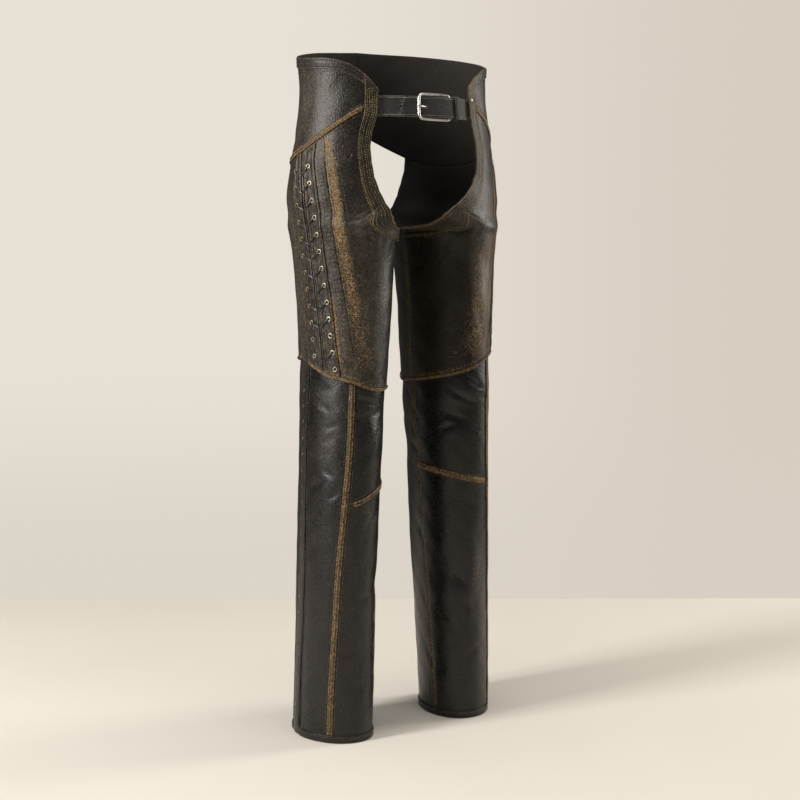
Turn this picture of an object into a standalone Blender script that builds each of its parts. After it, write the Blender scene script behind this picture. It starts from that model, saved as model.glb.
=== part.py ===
"""Leather chaps, worn and filled out: two open-seated legs, laced at the sides, joined by a yoke and a belt.

Every leather piece lies on one skin, a surface given by an angle round the leg and a height above the hem.
A panel is a patch of that skin between four seams, and trim is a narrow patch moved out from it.
Angle 0 is the outermost side of a leg, +90 its front, 180 the inner side and -90 its back.
The front faces -Y, the wearer's right leg is at -X, and the origin is the centre of the waist at the belt.
"""

import math

import bmesh
import bpy
from mathutils import Vector

MM = 0.001
RIGHT, LEFT = -1, 1  # the wearer's right leg is at -X
SIDES = {"right": RIGHT, "left": LEFT}

# ---------------------------------------------------------------- driving sizes, in metres and degrees
BELT_HEIGHT = 1.013  # belt centre above the hem
LEATHER = 2.0 * MM  # wall of every panel
SEAM_GAP = 0.4 * MM  # between two panels that meet at a seam
TRIM_LIFT = 0.6 * MM  # under any trim that lies on a panel
WELT_WIDTH = 10 * MM
WELT_HEIGHT = 1.8 * MM
HEM_BAND_HEIGHT = 12 * MM
HEM_OVERLAP = 12 * MM  # how far the lower leg reaches up inside the thigh's hem
HEM_TUCK = 3.8 * MM  # how far in the lower leg lies there
HEM_CLEAR = 2 * MM  # between the thigh's hem and trim that runs up to it
SHORTEST_STEP = 6 * MM
TUCK_REACH = 40 * MM  # how far under the hem it starts to move in
FRONT_BAND_WIDTH = 21 * MM
FRONT_BAND_LOW = 16 * MM  # its width at the crotch
WAIST_BAND_WIDTH = 17 * MM
PLACKET_WIDTH = 28 * MM
PLACKET_TOP = 0.803  # height of the upper end of the outseam placket
EYELET_PITCH = {RIGHT: 26.2 * MM, LEFT: 25.0 * MM}
EYELET_RADIUS = 4.3 * MM
EYELET_HOLE = 2.2 * MM
EYELET_RISE = 1.1 * MM
FRONT_EYELETS = 13
REAR_EYELETS = 12
LACED_ROWS = tuple((row, (-1, 1)) for row in range(10)) + ((11, (1,)),)  # each row's arms, rear -1 and front +1
TOP_EYELET = {RIGHT: 0.9206, LEFT: 0.931}  # height of the first front eyelet
REAR_DROP = 7 * MM  # a rear eyelet lies this much lower than its front one
LACE_DROP = 15.5 * MM  # the lace dives into the slit this much below a front eyelet
LACE_WIDTH = 2.3 * MM
BELT_WIDTH = 32 * MM
BELT_THICKNESS = 2.5 * MM
BUCKLE_HEIGHT = 43 * MM
BUCKLE_WIRE = 2.0 * MM  # radius of the buckle's wire
PRONG_WIRE = 1.5 * MM

# ---------------------------------------------------------------- the skin
# One row for each level: the section's centre, its half sizes and how far it is turned, toes in.
SECTION_COLUMNS = ("height", "out", "back", "half_width", "half_depth", "turn")
SECTIONS = (
    (0.00, 0.1220, 0.0000, 0.0560, 0.0740, 14.0),
    (0.10, 0.1185, 0.0000, 0.0567, 0.0763, 9.0),
    (0.20, 0.1150, 0.0010, 0.0576, 0.0785, 5.0),
    (0.30, 0.1115, 0.0010, 0.0588, 0.0810, 1.5),
    (0.40, 0.1080, 0.0000, 0.0600, 0.0833, -1.0),
    (0.50, 0.1037, -0.0010, 0.0616, 0.0863, -2.5),
    (0.60, 0.1000, -0.0020, 0.0648, 0.0905, -2.4),
    (0.70, 0.0978, -0.0020, 0.0692, 0.0957, -1.7),
    (0.77, 0.0971, 0.0000, 0.0740, 0.0985, -0.8),
    (0.815, 0.0962, 0.0015, 0.0785, 0.1080, -0.4),
    (0.83, 0.0937, 0.0020, 0.0832, 0.1120, -0.3),
    (0.85, 0.0563, 0.0028, 0.1243, 0.1170, -0.1),
    (0.87, 0.0366, 0.0030, 0.1472, 0.1205, 0.0),
    (0.90, 0.0131, 0.0020, 0.1698, 0.1222, 0.0),
    (0.93, 0.0050, 0.0000, 0.1736, 0.1220, 0.0),
    (0.99, 0.0000, -0.0010, 0.1693, 0.1162, 0.0),
    (1.04, 0.0000, 0.0000, 0.1636, 0.1139, 0.0),
    (1.12, 0.0000, 0.0030, 0.1668, 0.1131, 0.0),
)
# The largest soft folds: where each lies, how far it runs round and up, and how deep it is.
FOLD_COLUMNS = ("height", "angle", "half_run", "half_height", "depth")
FOLDS = (
    (0.530, 110, 60, 0.022, 0.0026),
    (0.455, 250, 70, 0.026, 0.0040),
    (0.395, 265, 65, 0.024, 0.0032),
    (0.250, 140, 50, 0.024, 0.0024),
    (0.200, 250, 60, 0.028, 0.0028),
    (0.700, 255, 55, 0.026, 0.0030),
)

# ---------------------------------------------------------------- seam lines
# Upright lines: (height, angle).
OUTSEAM = ((0.00, -17), (0.10, -12), (0.19, -5), (0.30, 0), (0.49, 2), (0.60, 5), (0.66, 0),
           (0.74, -4), (0.82, -2), (0.88, 0), (0.95, -3))
INSEAM = ((0.00, 148), (0.10, 156), (0.20, 163), (0.30, 172), (0.40, 178), (0.50, 183),
          (0.60, 186), (0.70, 182), (0.80, 180))
CALF_SEAM = ((0.00, 33), (0.08, 37), (0.19, 45), (0.28, 51), (0.39, 60), (0.48, 65), (0.60, 65))
SIDE_SEAM = ((0.57, 76), (0.60, 71), (0.64, 63.5), (0.70, 55.5), (0.755, 49), (0.81, 41.5),
             (0.87, 34), (0.94, 24.5), (0.98, 22))
LACE_SLIT = ((0.60, 29.5), (0.66, 24.7), (0.70, 21.0), (0.745, 18.0), (0.80, 13.9), (0.84, 12.3),
             (0.885, 11), (0.915, 8), (0.95, 5))
FRONT_EYELET_LINE = ((0.60, 44.2), (0.65, 37.9), (0.70, 33.8), (0.76, 28.6), (0.82, 23.4), (0.87, 19.7), (0.93, 12))
REAR_EYELET_LINE = ((0.61, 17), (0.66, 12.5), (0.70, 9.2), (0.75, 5.8), (0.81, 3), (0.865, 3.6), (0.92, 0))
# Level lines: (angle, height).
TOP_EDGE = {
    RIGHT: ((-90, 1.118), (-60, 1.1115), (-40, 1.104), (-11, 1.0915), (10, 1.088), (31, 1.0845),
            (44.5, 1.075), (51.3, 1.064), (57, 1.053), (59.5, 1.043), (61.5, 1.036)),
    LEFT: ((-90, 1.118), (-59, 1.1165), (-43.5, 1.1135), (-28, 1.109), (-12.5, 1.103), (3, 1.096),
           (11, 1.0915), (19, 1.088), (31, 1.0845), (44.5, 1.075), (51.3, 1.064), (57, 1.053), (59.5, 1.043),
           (61.5, 1.036)),
}
YOKE_SEAM = ((-90, 0.985), (-75, 0.965), (-60, 0.945), (-45, 0.933), (-30, 0.930), (-15, 0.935),
             (-3, 0.9435), (7, 0.951), (24, 0.973), (40, 0.998), (52, 1.014), (63, 1.022))
# As worn, the two legs' hems, knee seams and front openings lie a little differently.
THIGH_HEM = {
    RIGHT: ((-15, 0.618), (3, 0.6125), (20, 0.600), (31.5, 0.594), (43, 0.590), (56, 0.587), (69, 0.583),
            (82, 0.576), (97, 0.571), (112, 0.5695), (140, 0.571), (180, 0.566), (225, 0.575), (270, 0.600),
            (345, 0.618)),
    LEFT: ((-15, 0.623), (20, 0.621), (45, 0.620), (62, 0.616), (78, 0.608), (102, 0.595), (119, 0.589),
           (134, 0.584), (162, 0.577), (183, 0.573), (212, 0.570), (250, 0.584), (295, 0.609), (345, 0.623)),
}
KNEE_SEAM = {
    RIGHT: ((55, 0.390), (78, 0.3925), (97, 0.402), (126, 0.412), (180, 0.428)),
    LEFT: ((55, 0.403), (80, 0.408), (106, 0.414), (136, 0.422), (180, 0.432)),
}
# The leg's opening, from under the yoke down its front edge to the crotch: (angle, height).
FRONT_OPENING = {
    RIGHT: ((56.2, 1.000), (53.6, 0.970), (53.4, 0.945), (55.6, 0.920), (59.4, 0.896), (63.8, 0.882),
            (69, 0.8686), (78.8, 0.8503), (93.5, 0.8381), (109, 0.8312), (125.6, 0.8262), (155, 0.8265)),
    LEFT: ((62.9, 1.000), (60.2, 0.956), (60.9, 0.937), (63.4, 0.913), (66.3, 0.9005), (72.3, 0.8876),
           (81.6, 0.8732), (93.6, 0.8589), (102.5, 0.851), (115.4, 0.8432), (138.9, 0.8338), (155, 0.8302)),
}
YOKE_FRONT_ANGLE = 59.5
YOKE_FRONT_SWING = 3.2  # the belt draws the right front edge back by this, and the left one the other way
TOP_EDGE_SWING = 4.5  # how far the top edge's front swings the same way
SEAT_OPENING = ((205, 0.824), (230, 0.826), (255, 0.834), (275, 0.850), (290, 0.880), (298, 0.915))
CROTCH = (180, 0.827)
SEAT_CORNER_ANGLE = -60  # where the seat opening meets the yoke seam


# ---------------------------------------------------------------- the belt, on the left side's angles
BELT_SIDE = 1  # the waist is one oval there, so angles over 90 are the right half
TONGUE_COLUMNS = ("angle", "lift")
# Outer face of each strap along the waist. The tongue passes under the buckle's outer bar and over its heel bar.
TONGUE_PATH = ((55, -2.9), (62, -2.8), (67, -2.2), (73, 0.6), (77.8, 1.5), (84, 0.9), (92, -0.9), (96, -1.6),
               (100, -2.1), (104, -2.6), (112, -2.9), (134, -2.9))
BUCKLE_STRAP_PATH = ((38, -2.9), (48, -2.9), (54, -5.9), (66, -5.9), (72, -5.9), (80.5, -5.9))
HOLE_ANGLES = (110, 85, 72)
HOLE_RADIUS = 1.9 * MM
SLOT_ANGLES = (93.3, 98.2)
SLOT_WIDTH = 4.4 * MM
OUTER_BAR = (99.8, 0.5)  # angle and lift of the buckle's bars, lift in millimetres
HEEL_BAR = (77.8, -3.5)
BUCKLE_CORNER = 8 * MM
PRONG_PATH = ((79.3, -3.6), (84, -4.3), (89, -5.9), (92.6, -6.4), (94.4, -4.6), (95.8, -1.2), (97.2, 2.0),
              (99.0, 4.6), (101.6, 4.6))
KEEPER_ANGLES = (73.1, 76.2)
KEEPER_LIFTS = (-9.0, 2.2)  # inner and outer lift of the space inside the keeper, in millimetres
KEEPER_WALL = 1.6 * MM
KEEPER_ROOM = 0.6 * MM


def curve(table, x, column=1):
    """Read a table at x along a smooth curve through its rows; the first column is the place."""
    last = len(table) - 1
    x = min(max(x, table[0][0]), table[last][0])
    row = next(i for i in range(last) if x <= table[i + 1][0])

    def slope(i):
        before, after = table[max(i - 1, 0)], table[min(i + 1, last)]
        return (after[column] - before[column]) / (after[0] - before[0])

    start, end = table[row], table[row + 1]
    width = end[0] - start[0]
    t = (x - start[0]) / width
    return (
        (1 + 2 * t) * (1 - t) ** 2 * start[column]
        + t * (1 - t) ** 2 * width * slope(row)
        + t * t * (3 - 2 * t) * end[column]
        + t * t * (t - 1) * width * slope(row + 1)
    )


def fold_depth(angle, height):
    """How far the soft folds draw the skin in at one place."""
    depth = 0.0
    for level, middle, half_run, half_height, deepest in FOLDS:
        across = (height - level) / half_height
        along = ((angle - middle + 180) % 360 - 180) / half_run
        if abs(across) < 3 and abs(along) < 1:
            depth += deepest * math.exp(-across * across) * math.cos(0.5 * math.pi * along) ** 2
    return depth


def on_section(side, angle, height):
    """A point of the bare skin, before it is moved out or in."""
    out, back, half_width, half_depth, turn = (
        curve(SECTIONS, height, SECTION_COLUMNS.index(name))
        for name in ("out", "back", "half_width", "half_depth", "turn")
    )
    shrink = 1 - fold_depth(angle, height) / half_width
    across = half_width * shrink * math.cos(math.radians(angle))
    forward = half_depth * shrink * math.sin(math.radians(angle))
    turn = math.radians(turn)
    x = out + across * math.cos(turn) - forward * math.sin(turn)
    y = back - forward * math.cos(turn) - across * math.sin(turn)
    return Vector((side * x, y, height - BELT_HEIGHT))


def skin(side, angle, height, lift=0.0):
    """A point of the skin, moved out along its normal by lift."""
    point = on_section(side, angle, height)
    if lift == 0.0:
        return point
    round_it = on_section(side, angle + 0.5, height) - on_section(side, angle - 0.5, height)
    up_it = on_section(side, angle, height + 1 * MM) - on_section(side, angle, height - 1 * MM)
    return point + round_it.cross(up_it).normalized() * (-side * lift)


def degrees_for(length, side, angle, height):
    """The angle that spans a length along the skin at one place."""
    one = (on_section(side, angle + 0.5, height) - on_section(side, angle - 0.5, height)).length
    return length / one


# ---------------------------------------------------------------- meshes
def material(name, colour, roughness, metallic=0.0):
    """A plain Principled material."""
    made = bpy.data.materials.new(name)
    made.use_nodes = True
    shader = made.node_tree.nodes["Principled BSDF"]
    shader.inputs["Base Color"].default_value = (*colour, 1)
    shader.inputs["Roughness"].default_value = roughness
    shader.inputs["Metallic"].default_value = metallic
    return made


LEATHER_DARK = (0.035, 0.028, 0.022)
LEATHER_BLACK = (0.022, 0.019, 0.017)
COPPER_RUB = (0.26, 0.13, 0.05)
BELT_GREY = (0.10, 0.085, 0.07)
NICKEL = (0.62, 0.60, 0.56)


def add_object(name, mesh, colour, roughness=0.5, metallic=0.0):
    """Link a mesh as one named sub-part with its own material."""
    made = bpy.data.objects.new(name, mesh)
    mesh.materials.append(material(name, colour, roughness, metallic))
    bpy.data.collections["leather_chaps"].objects.link(made)
    return made


def finish(name, mesh, colour, roughness=0.5, metallic=0.0):
    """Turn a closed bmesh's faces outwards and link it as a sub-part."""
    bmesh.ops.recalc_face_normals(mesh, faces=mesh.faces[:])
    if mesh.calc_volume(signed=True) < 0:
        bmesh.ops.reverse_faces(mesh, faces=mesh.faces[:])
    data = bpy.data.meshes.new(name)
    mesh.to_mesh(data)
    mesh.free()
    return add_object(name, data, colour, roughness, metallic)


def as_key(place):
    """A place rounded, so that grids that share an edge find the same corners."""
    return round(place[0], 4), round(place[1], 6)


def wall(name, side, grids, colour, inset=0.0):
    """A closed wall from grids of (angle, height, lift, thickness) that share their common edges.

    The lift is the outer face's. inset draws the rim in, which leaves the seam's gap.
    """
    mesh = bmesh.new()
    pairs = {}
    for place in (place for grid in grids for row in grid for place in row):
        angle, height, lift, thickness = place
        if as_key(place) not in pairs:
            pairs[as_key(place)] = [mesh.verts.new(skin(side, angle, height, up)) for up in (lift, lift - thickness)]
    for grid in grids:
        for low, high in zip(grid, grid[1:]):
            for i in range(1, len(low)):
                loop = [pairs[as_key(place)] for place in (low[i - 1], low[i], high[i], high[i - 1])]
                mesh.faces.new([outer for outer, _ in loop])
                mesh.faces.new([loop[corner][1] for corner in (0, 3, 2, 1)])
    inner_of = dict(pairs.values())
    rim = [edge for edge in mesh.edges if edge.is_boundary and edge.verts[0] in inner_of]
    draws = {}
    for edge in rim:
        one, other = edge.verts
        along = (other.co - one.co).normalized()
        inward = edge.link_faces[0].calc_center_median() - one.co
        inward = (inward - along * inward.dot(along)).normalized()
        for vertex in edge.verts:
            draws.setdefault(vertex, []).append(inward)
    for edge in rim:
        one, other = edge.verts
        mesh.faces.new((one, other, inner_of[other], inner_of[one]))
    for vertex, (first, second) in draws.items():
        step = (first + second) * (inset / (1 + first.dot(second)))
        vertex.co += step
        inner_of[vertex].co += step
    return finish(name, mesh, colour)


def patch(bottom, top, left, right):
    """Fill four seams, given as matching lists of (angle, height), with a grid of places."""
    rows, columns = len(left), len(bottom)
    grid = []
    for j in range(rows):
        v = j / (rows - 1)
        line = []
        for i in range(columns):
            u = i / (columns - 1)
            line.append(tuple(
                (1 - v) * bottom[i][k] + v * top[i][k] + (1 - u) * left[j][k] + u * right[j][k]
                - (1 - u) * (1 - v) * bottom[0][k] - u * (1 - v) * bottom[-1][k]
                - (1 - u) * v * top[0][k] - u * v * top[-1][k]
                for k in (0, 1)
            ))
        grid.append(line)
    return grid


def relaxed(grid):
    """Even out a patch's inner places, so that its lines don't cross beside a seam that bends.

    Each place is moved to the mean of its neighbours, weighed by how far apart its rows and columns lie.
    """
    rows = [[Vector((angle * RELAX_SCALE, height)) for angle, height in row] for row in grid]
    for _ in range(RELAX_ROUNDS):
        for j in range(1, len(rows) - 1):
            for i in range(1, len(rows[0]) - 1):
                along = (rows[j][i + 1] - rows[j][i - 1]) / 2
                up = (rows[j + 1][i] - rows[j - 1][i]) / 2
                skewed = (rows[j + 1][i + 1] - rows[j + 1][i - 1] - rows[j - 1][i + 1] + rows[j - 1][i - 1]) / 4
                rows[j][i] = (
                    up.dot(up) * (rows[j][i + 1] + rows[j][i - 1])
                    + along.dot(along) * (rows[j + 1][i] + rows[j - 1][i])
                    - 2 * along.dot(up) * skewed
                ) / (2 * (up.dot(up) + along.dot(along)))
    return [[tuple(old) if edge else (new.x / RELAX_SCALE, new.y)
             for old, new, edge in zip(old_row, new_row, edges_of(grid, j))]
            for j, (old_row, new_row) in enumerate(zip(grid, rows))]


def edges_of(grid, row):
    """Which places of a grid's row are on its rim."""
    last = len(grid[0]) - 1
    return [row in (0, len(grid) - 1) or column in (0, last) for column in range(last + 1)]


def panel(name, side, grids, colour=LEATHER_DARK, tuck=False):
    """One cut leather panel; tuck draws its top in under the thigh's hem."""
    placed = [[[(*place, tucked(side, *place) if tuck else 0.0, LEATHER) for place in row] for row in grid]
              for grid in grids]
    return wall(name, side, placed, colour, SEAM_GAP / 2)


def tucked(side, angle, height):
    """How far in the lower leg lies at a place, as it slants up inside the thigh's hem."""
    risen = height - level(THIGH_HEM[side], angle) + TUCK_REACH
    return -HEM_TUCK * min(max(risen / (TUCK_REACH + HEM_OVERLAP), 0.0), 1.0)


def trim(name, side, first, second, height, colour, edge=None, inset=0.0, across=2, tuck=False):
    """A strip between two matching edges that lies on a panel, crowned to height at its middle."""
    edge = height if edge is None else edge
    grid = []
    for j in range(across + 1):
        rise = edge + (height - edge) * math.sin(math.pi * j / across)
        places = [tuple(a + (b - a) * j / across for a, b in zip(one, two)) for one, two in zip(first, second)]
        grid.append([(*place, TRIM_LIFT + rise + (tucked(side, *place) if tuck else 0.0), rise) for place in places])
    return wall(name, side, [grid], colour, inset)


# ---------------------------------------------------------------- places along the seams
def level(table, angle):
    """The height of a level line at an angle; a line that goes all the way round repeats."""
    if table[-1][0] - table[0][0] == 360:
        angle = (angle - table[0][0]) % 360 + table[0][0]
    return curve(table, angle)


def crossing(upright, table, height):
    """Where an upright line meets a level line, looked for from a height."""
    for _ in range(20):
        height = level(table, curve(upright, height))
    return curve(upright, height), height


def along_upright(upright, low, high, count):
    """Places up an upright line between two heights."""
    heights = [low + (high - low) * i / count for i in range(count + 1)]
    return [(curve(upright, h), h) for h in heights]


def along_level(table, start, end, count, offset=0.0):
    """Places along a level line between two angles."""
    angles = [start + (end - start) * i / count for i in range(count + 1)]
    return [(a, level(table, a) + offset) for a in angles]


def join(*runs):
    """One list of places from runs that share their ends."""
    places = list(runs[0])
    for run in runs[1:]:
        places += run[1:]
    return places


def turned(places, degrees):
    """The same places, counted from a full turn away."""
    return [(angle + degrees, height) for angle, height in places]


def beside(side, places, distance):
    """Places moved round the leg by a distance, forward when positive."""
    return [(a + degrees_for(distance, side, a, h), h) for a, h in places]


def above(places, distance):
    """Places moved up by a distance."""
    return [(angle, height + distance) for angle, height in places]


def inward_of(side, places, width):
    """Places moved to the left of a route along the skin by a width, square to the route."""
    moved = []
    for i, (angle, height) in enumerate(places):
        before, after = places[max(i - 1, 0)], places[min(i + 1, len(places) - 1)]
        one = (on_section(side, angle + 0.5, height) - on_section(side, angle - 0.5, height)).length
        run, rise = (after[0] - before[0]) * one, after[1] - before[1]
        size = math.hypot(run, rise)
        moved.append((angle - rise / size * width / one, height + run / size * width))
    return moved


def smooth_route(places, count):
    """Even places along a smooth curve through a few given ones."""
    steps = [0.0]
    for (a0, h0), (a1, h1) in zip(places, places[1:]):
        steps.append(steps[-1] + math.hypot((a1 - a0) * 0.0016, h1 - h0))
    angles = [(s, a) for s, (a, _) in zip(steps, places)]
    heights = [(s, h) for s, (_, h) in zip(steps, places)]
    return [(curve(angles, steps[-1] * i / count), curve(heights, steps[-1] * i / count))
            for i in range(count + 1)]


# ---------------------------------------------------------------- one side of the chaps
THIGH_ROWS = 9
KNEE_ROWS = 7
SHIN_ROWS = 9
FRONT_COLUMNS = 10
BACK_COLUMNS = 12
CALF_COLUMNS = 6
OPENING_STEPS = 15
SEAT_STEPS = 12
YOKE_FRONT_STEPS = 4  # the last is as wide as the front band
YOKE_SIDE_STEPS = 6
YOKE_BACK_STEPS = 6  # the first is as wide as the front band at the crotch
YOKE_SEAT_STEPS = 3
YOKE_ROWS = 3
RELAX_SCALE = 1.7 * MM  # metres a degree, near enough, when a patch is evened out
RELAX_ROUNDS = 120


def between(start, end, count):
    """Even places on a straight run from one place to another."""
    return [tuple(a + (b - a) * i / count for a, b in zip(start, end)) for i in range(count + 1)]


def top_edge(side, angle):
    """The height of the top edge at an angle, as the belt draws it."""
    return level(TOP_EDGE[side], angle - side * TOP_EDGE_SWING * (angle + 90) / (YOKE_FRONT_ANGLE + 90))


def band_inside(side, opening, start, end, first_width, last_width):
    """The band's inner edge beside an opening, from one given place to another."""
    last = len(opening) - 1
    inner = [inward_of(side, opening, -(first_width + (last_width - first_width) * i / last))[i]
             for i in range(last + 1)]
    return [start] + inner[1:-1] + [end]


def seams(side):
    """Every shared seam of one side as a list of places, so that neighbours match."""
    hem, knee_line = THIGH_HEM[side], KNEE_SEAM[side]
    front_top = YOKE_FRONT_ANGLE + side * YOKE_FRONT_SWING
    yoke_corner = (front_top, level(YOKE_SEAM, front_top))
    band_top = front_top - degrees_for(FRONT_BAND_WIDTH, side, *yoke_corner)
    front_corner = crossing(SIDE_SEAM, YOKE_SEAM, 0.97)
    rear_corner = crossing(OUTSEAM, YOKE_SEAM, 0.94)
    side_low = crossing(SIDE_SEAM, hem, 0.59)
    rear_low = crossing(OUTSEAM, hem, 0.61)
    inner_low = crossing(INSEAM, hem, 0.57)
    calf_top = crossing(CALF_SEAM, hem, 0.60)
    knee_in = crossing(INSEAM, knee_line, 0.43)
    knee_out = crossing(CALF_SEAM, knee_line, 0.39)
    seat_corner = (SEAT_CORNER_ANGLE, level(YOKE_SEAM, SEAT_CORNER_ANGLE))
    seat_inside = SEAT_CORNER_ANGLE + degrees_for(FRONT_BAND_LOW, side, *seat_corner)
    floor_rear, floor_calf, floor_in = ((curve(line, 0.0), 0.0) for line in (OUTSEAM, CALF_SEAM, INSEAM))
    s = {
        "yoke_seat": along_level(YOKE_SEAM, -90, seat_corner[0], YOKE_SEAT_STEPS),
        "yoke_back": [seat_corner] + along_level(YOKE_SEAM, seat_inside, rear_corner[0], YOKE_BACK_STEPS - 1),
        "yoke_side": along_level(YOKE_SEAM, rear_corner[0], front_corner[0], YOKE_SIDE_STEPS),
        "yoke_front": along_level(YOKE_SEAM, front_corner[0], band_top, YOKE_FRONT_STEPS - 1) + [yoke_corner],
        "front_opening": smooth_route((yoke_corner, *FRONT_OPENING[side], CROTCH), OPENING_STEPS),
        "seat_opening": smooth_route((CROTCH, *SEAT_OPENING, turned([seat_corner], 360)[0]), SEAT_STEPS),
        "side_seam": along_upright(SIDE_SEAM, side_low[1], front_corner[1], THIGH_ROWS),
        "outseam_high": along_upright(OUTSEAM, rear_low[1], rear_corner[1], THIGH_ROWS),
        "inseam_high": along_upright(INSEAM, inner_low[1], CROTCH[1] - FRONT_BAND_LOW, THIGH_ROWS),
        "hem_front": along_level(hem, side_low[0], inner_low[0], YOKE_FRONT_STEPS - 1 + OPENING_STEPS),
        "hem_side": along_level(hem, rear_low[0], side_low[0], YOKE_SIDE_STEPS),
        "hem_back": along_level(hem, inner_low[0], rear_low[0] + 360, SEAT_STEPS + YOKE_BACK_STEPS - 1),
        "knee": along_level(knee_line, knee_out[0], knee_in[0], FRONT_COLUMNS),
        "calf_high": along_upright(CALF_SEAM, knee_out[1], calf_top[1] + HEM_OVERLAP, KNEE_ROWS),
        "calf_low": along_upright(CALF_SEAM, 0.0, knee_out[1], SHIN_ROWS),
        "inseam_knee": along_upright(INSEAM, knee_in[1], inner_low[1] + HEM_OVERLAP, KNEE_ROWS),
        "inseam_shin": along_upright(INSEAM, 0.0, knee_in[1], SHIN_ROWS),
        "outseam_low": along_upright(OUTSEAM, 0.0, rear_low[1] + HEM_OVERLAP, KNEE_ROWS + SHIN_ROWS),
        "floor_front": between(floor_calf, floor_in, FRONT_COLUMNS),
        "floor_side": between(floor_rear, floor_calf, CALF_COLUMNS),
        "floor_back": between(floor_in, turned([floor_rear], 360)[0], BACK_COLUMNS),
    }
    s["front_inside"] = band_inside(side, s["front_opening"], s["yoke_front"][-2], s["inseam_high"][-1],
                                    FRONT_BAND_WIDTH, FRONT_BAND_LOW)
    s["seat_inside"] = band_inside(side, s["seat_opening"], s["inseam_high"][-1],
                                   turned(s["yoke_back"], 360)[1], FRONT_BAND_LOW, FRONT_BAND_LOW)
    s["top_front"] = above(along_level(hem, calf_top[0], inner_low[0], FRONT_COLUMNS), HEM_OVERLAP)
    s["top_side"] = above(along_level(hem, rear_low[0], calf_top[0], CALF_COLUMNS), HEM_OVERLAP)
    s["top_back"] = above(along_level(hem, inner_low[0], rear_low[0] + 360, BACK_COLUMNS), HEM_OVERLAP)
    s["yoke_low"] = join(s["yoke_seat"], s["yoke_back"], s["yoke_side"], s["yoke_front"])
    s["waist"] = [(angle, top_edge(side, angle)) for angle, _ in s["yoke_low"]]
    s["yoke_edge"] = between(s["yoke_low"][-1], s["waist"][-1], YOKE_ROWS)
    s["yoke_inside"] = between(s["yoke_low"][-2], s["waist"][-2], YOKE_ROWS)
    s["centre_back"] = between(s["yoke_low"][0], s["waist"][0], YOKE_ROWS)
    s["lacing_base"] = patch(s["hem_side"], s["yoke_side"], s["outseam_high"], s["side_seam"])
    return s


def build_panels(name, side, s):
    """The eight cut panels of one side."""
    panel(f"{name}_yoke", side, [patch(s["yoke_low"], s["waist"], s["centre_back"], s["yoke_edge"])])
    front = patch(s["hem_front"], join(s["yoke_front"][:-1], s["front_inside"]), s["side_seam"], s["inseam_high"])
    panel(f"{name}_thigh_front", side, [relaxed(front), [s["front_inside"], s["front_opening"]]])
    panel(f"{name}_lacing_base", side, [s["lacing_base"]])
    back = patch(s["hem_back"], join(s["seat_inside"], turned(s["yoke_back"], 360)[1:]), s["inseam_high"],
                 turned(s["outseam_high"], 360))
    panel(f"{name}_thigh_back", side, [relaxed(back), [s["seat_inside"], s["seat_opening"]]])
    panel(f"{name}_knee", side, [patch(s["knee"], s["top_front"], s["calf_high"], s["inseam_knee"])],
          LEATHER_BLACK, tuck=True)
    panel(f"{name}_shin", side, [patch(s["floor_front"], s["knee"], s["calf_low"], s["inseam_shin"])],
          LEATHER_BLACK)
    panel(f"{name}_calf_outer", side,
          [patch(s["floor_side"], s["top_side"], s["outseam_low"], join(s["calf_low"], s["calf_high"]))],
          LEATHER_BLACK, tuck=True)
    panel(f"{name}_calf_back", side,
          [patch(s["floor_back"], s["top_back"], join(s["inseam_shin"], s["inseam_knee"]),
                 turned(s["outseam_low"], 360))], LEATHER_BLACK, tuck=True)


def below_hem(side, upright, places):
    """The places of an upright seam under the thigh's hem, and one just short of it."""
    angle, height = crossing(upright, THIGH_HEM[side], places[-1][1])
    top = height - HEM_CLEAR
    return [place for place in places if place[1] < top - SHORTEST_STEP] + [(angle, top)]


def over_band(upright, places):
    """The places of an upright seam from just over the hem band."""
    start = HEM_BAND_HEIGHT + 1 * MM
    return [(curve(upright, start), start)] + places[1:]


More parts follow.
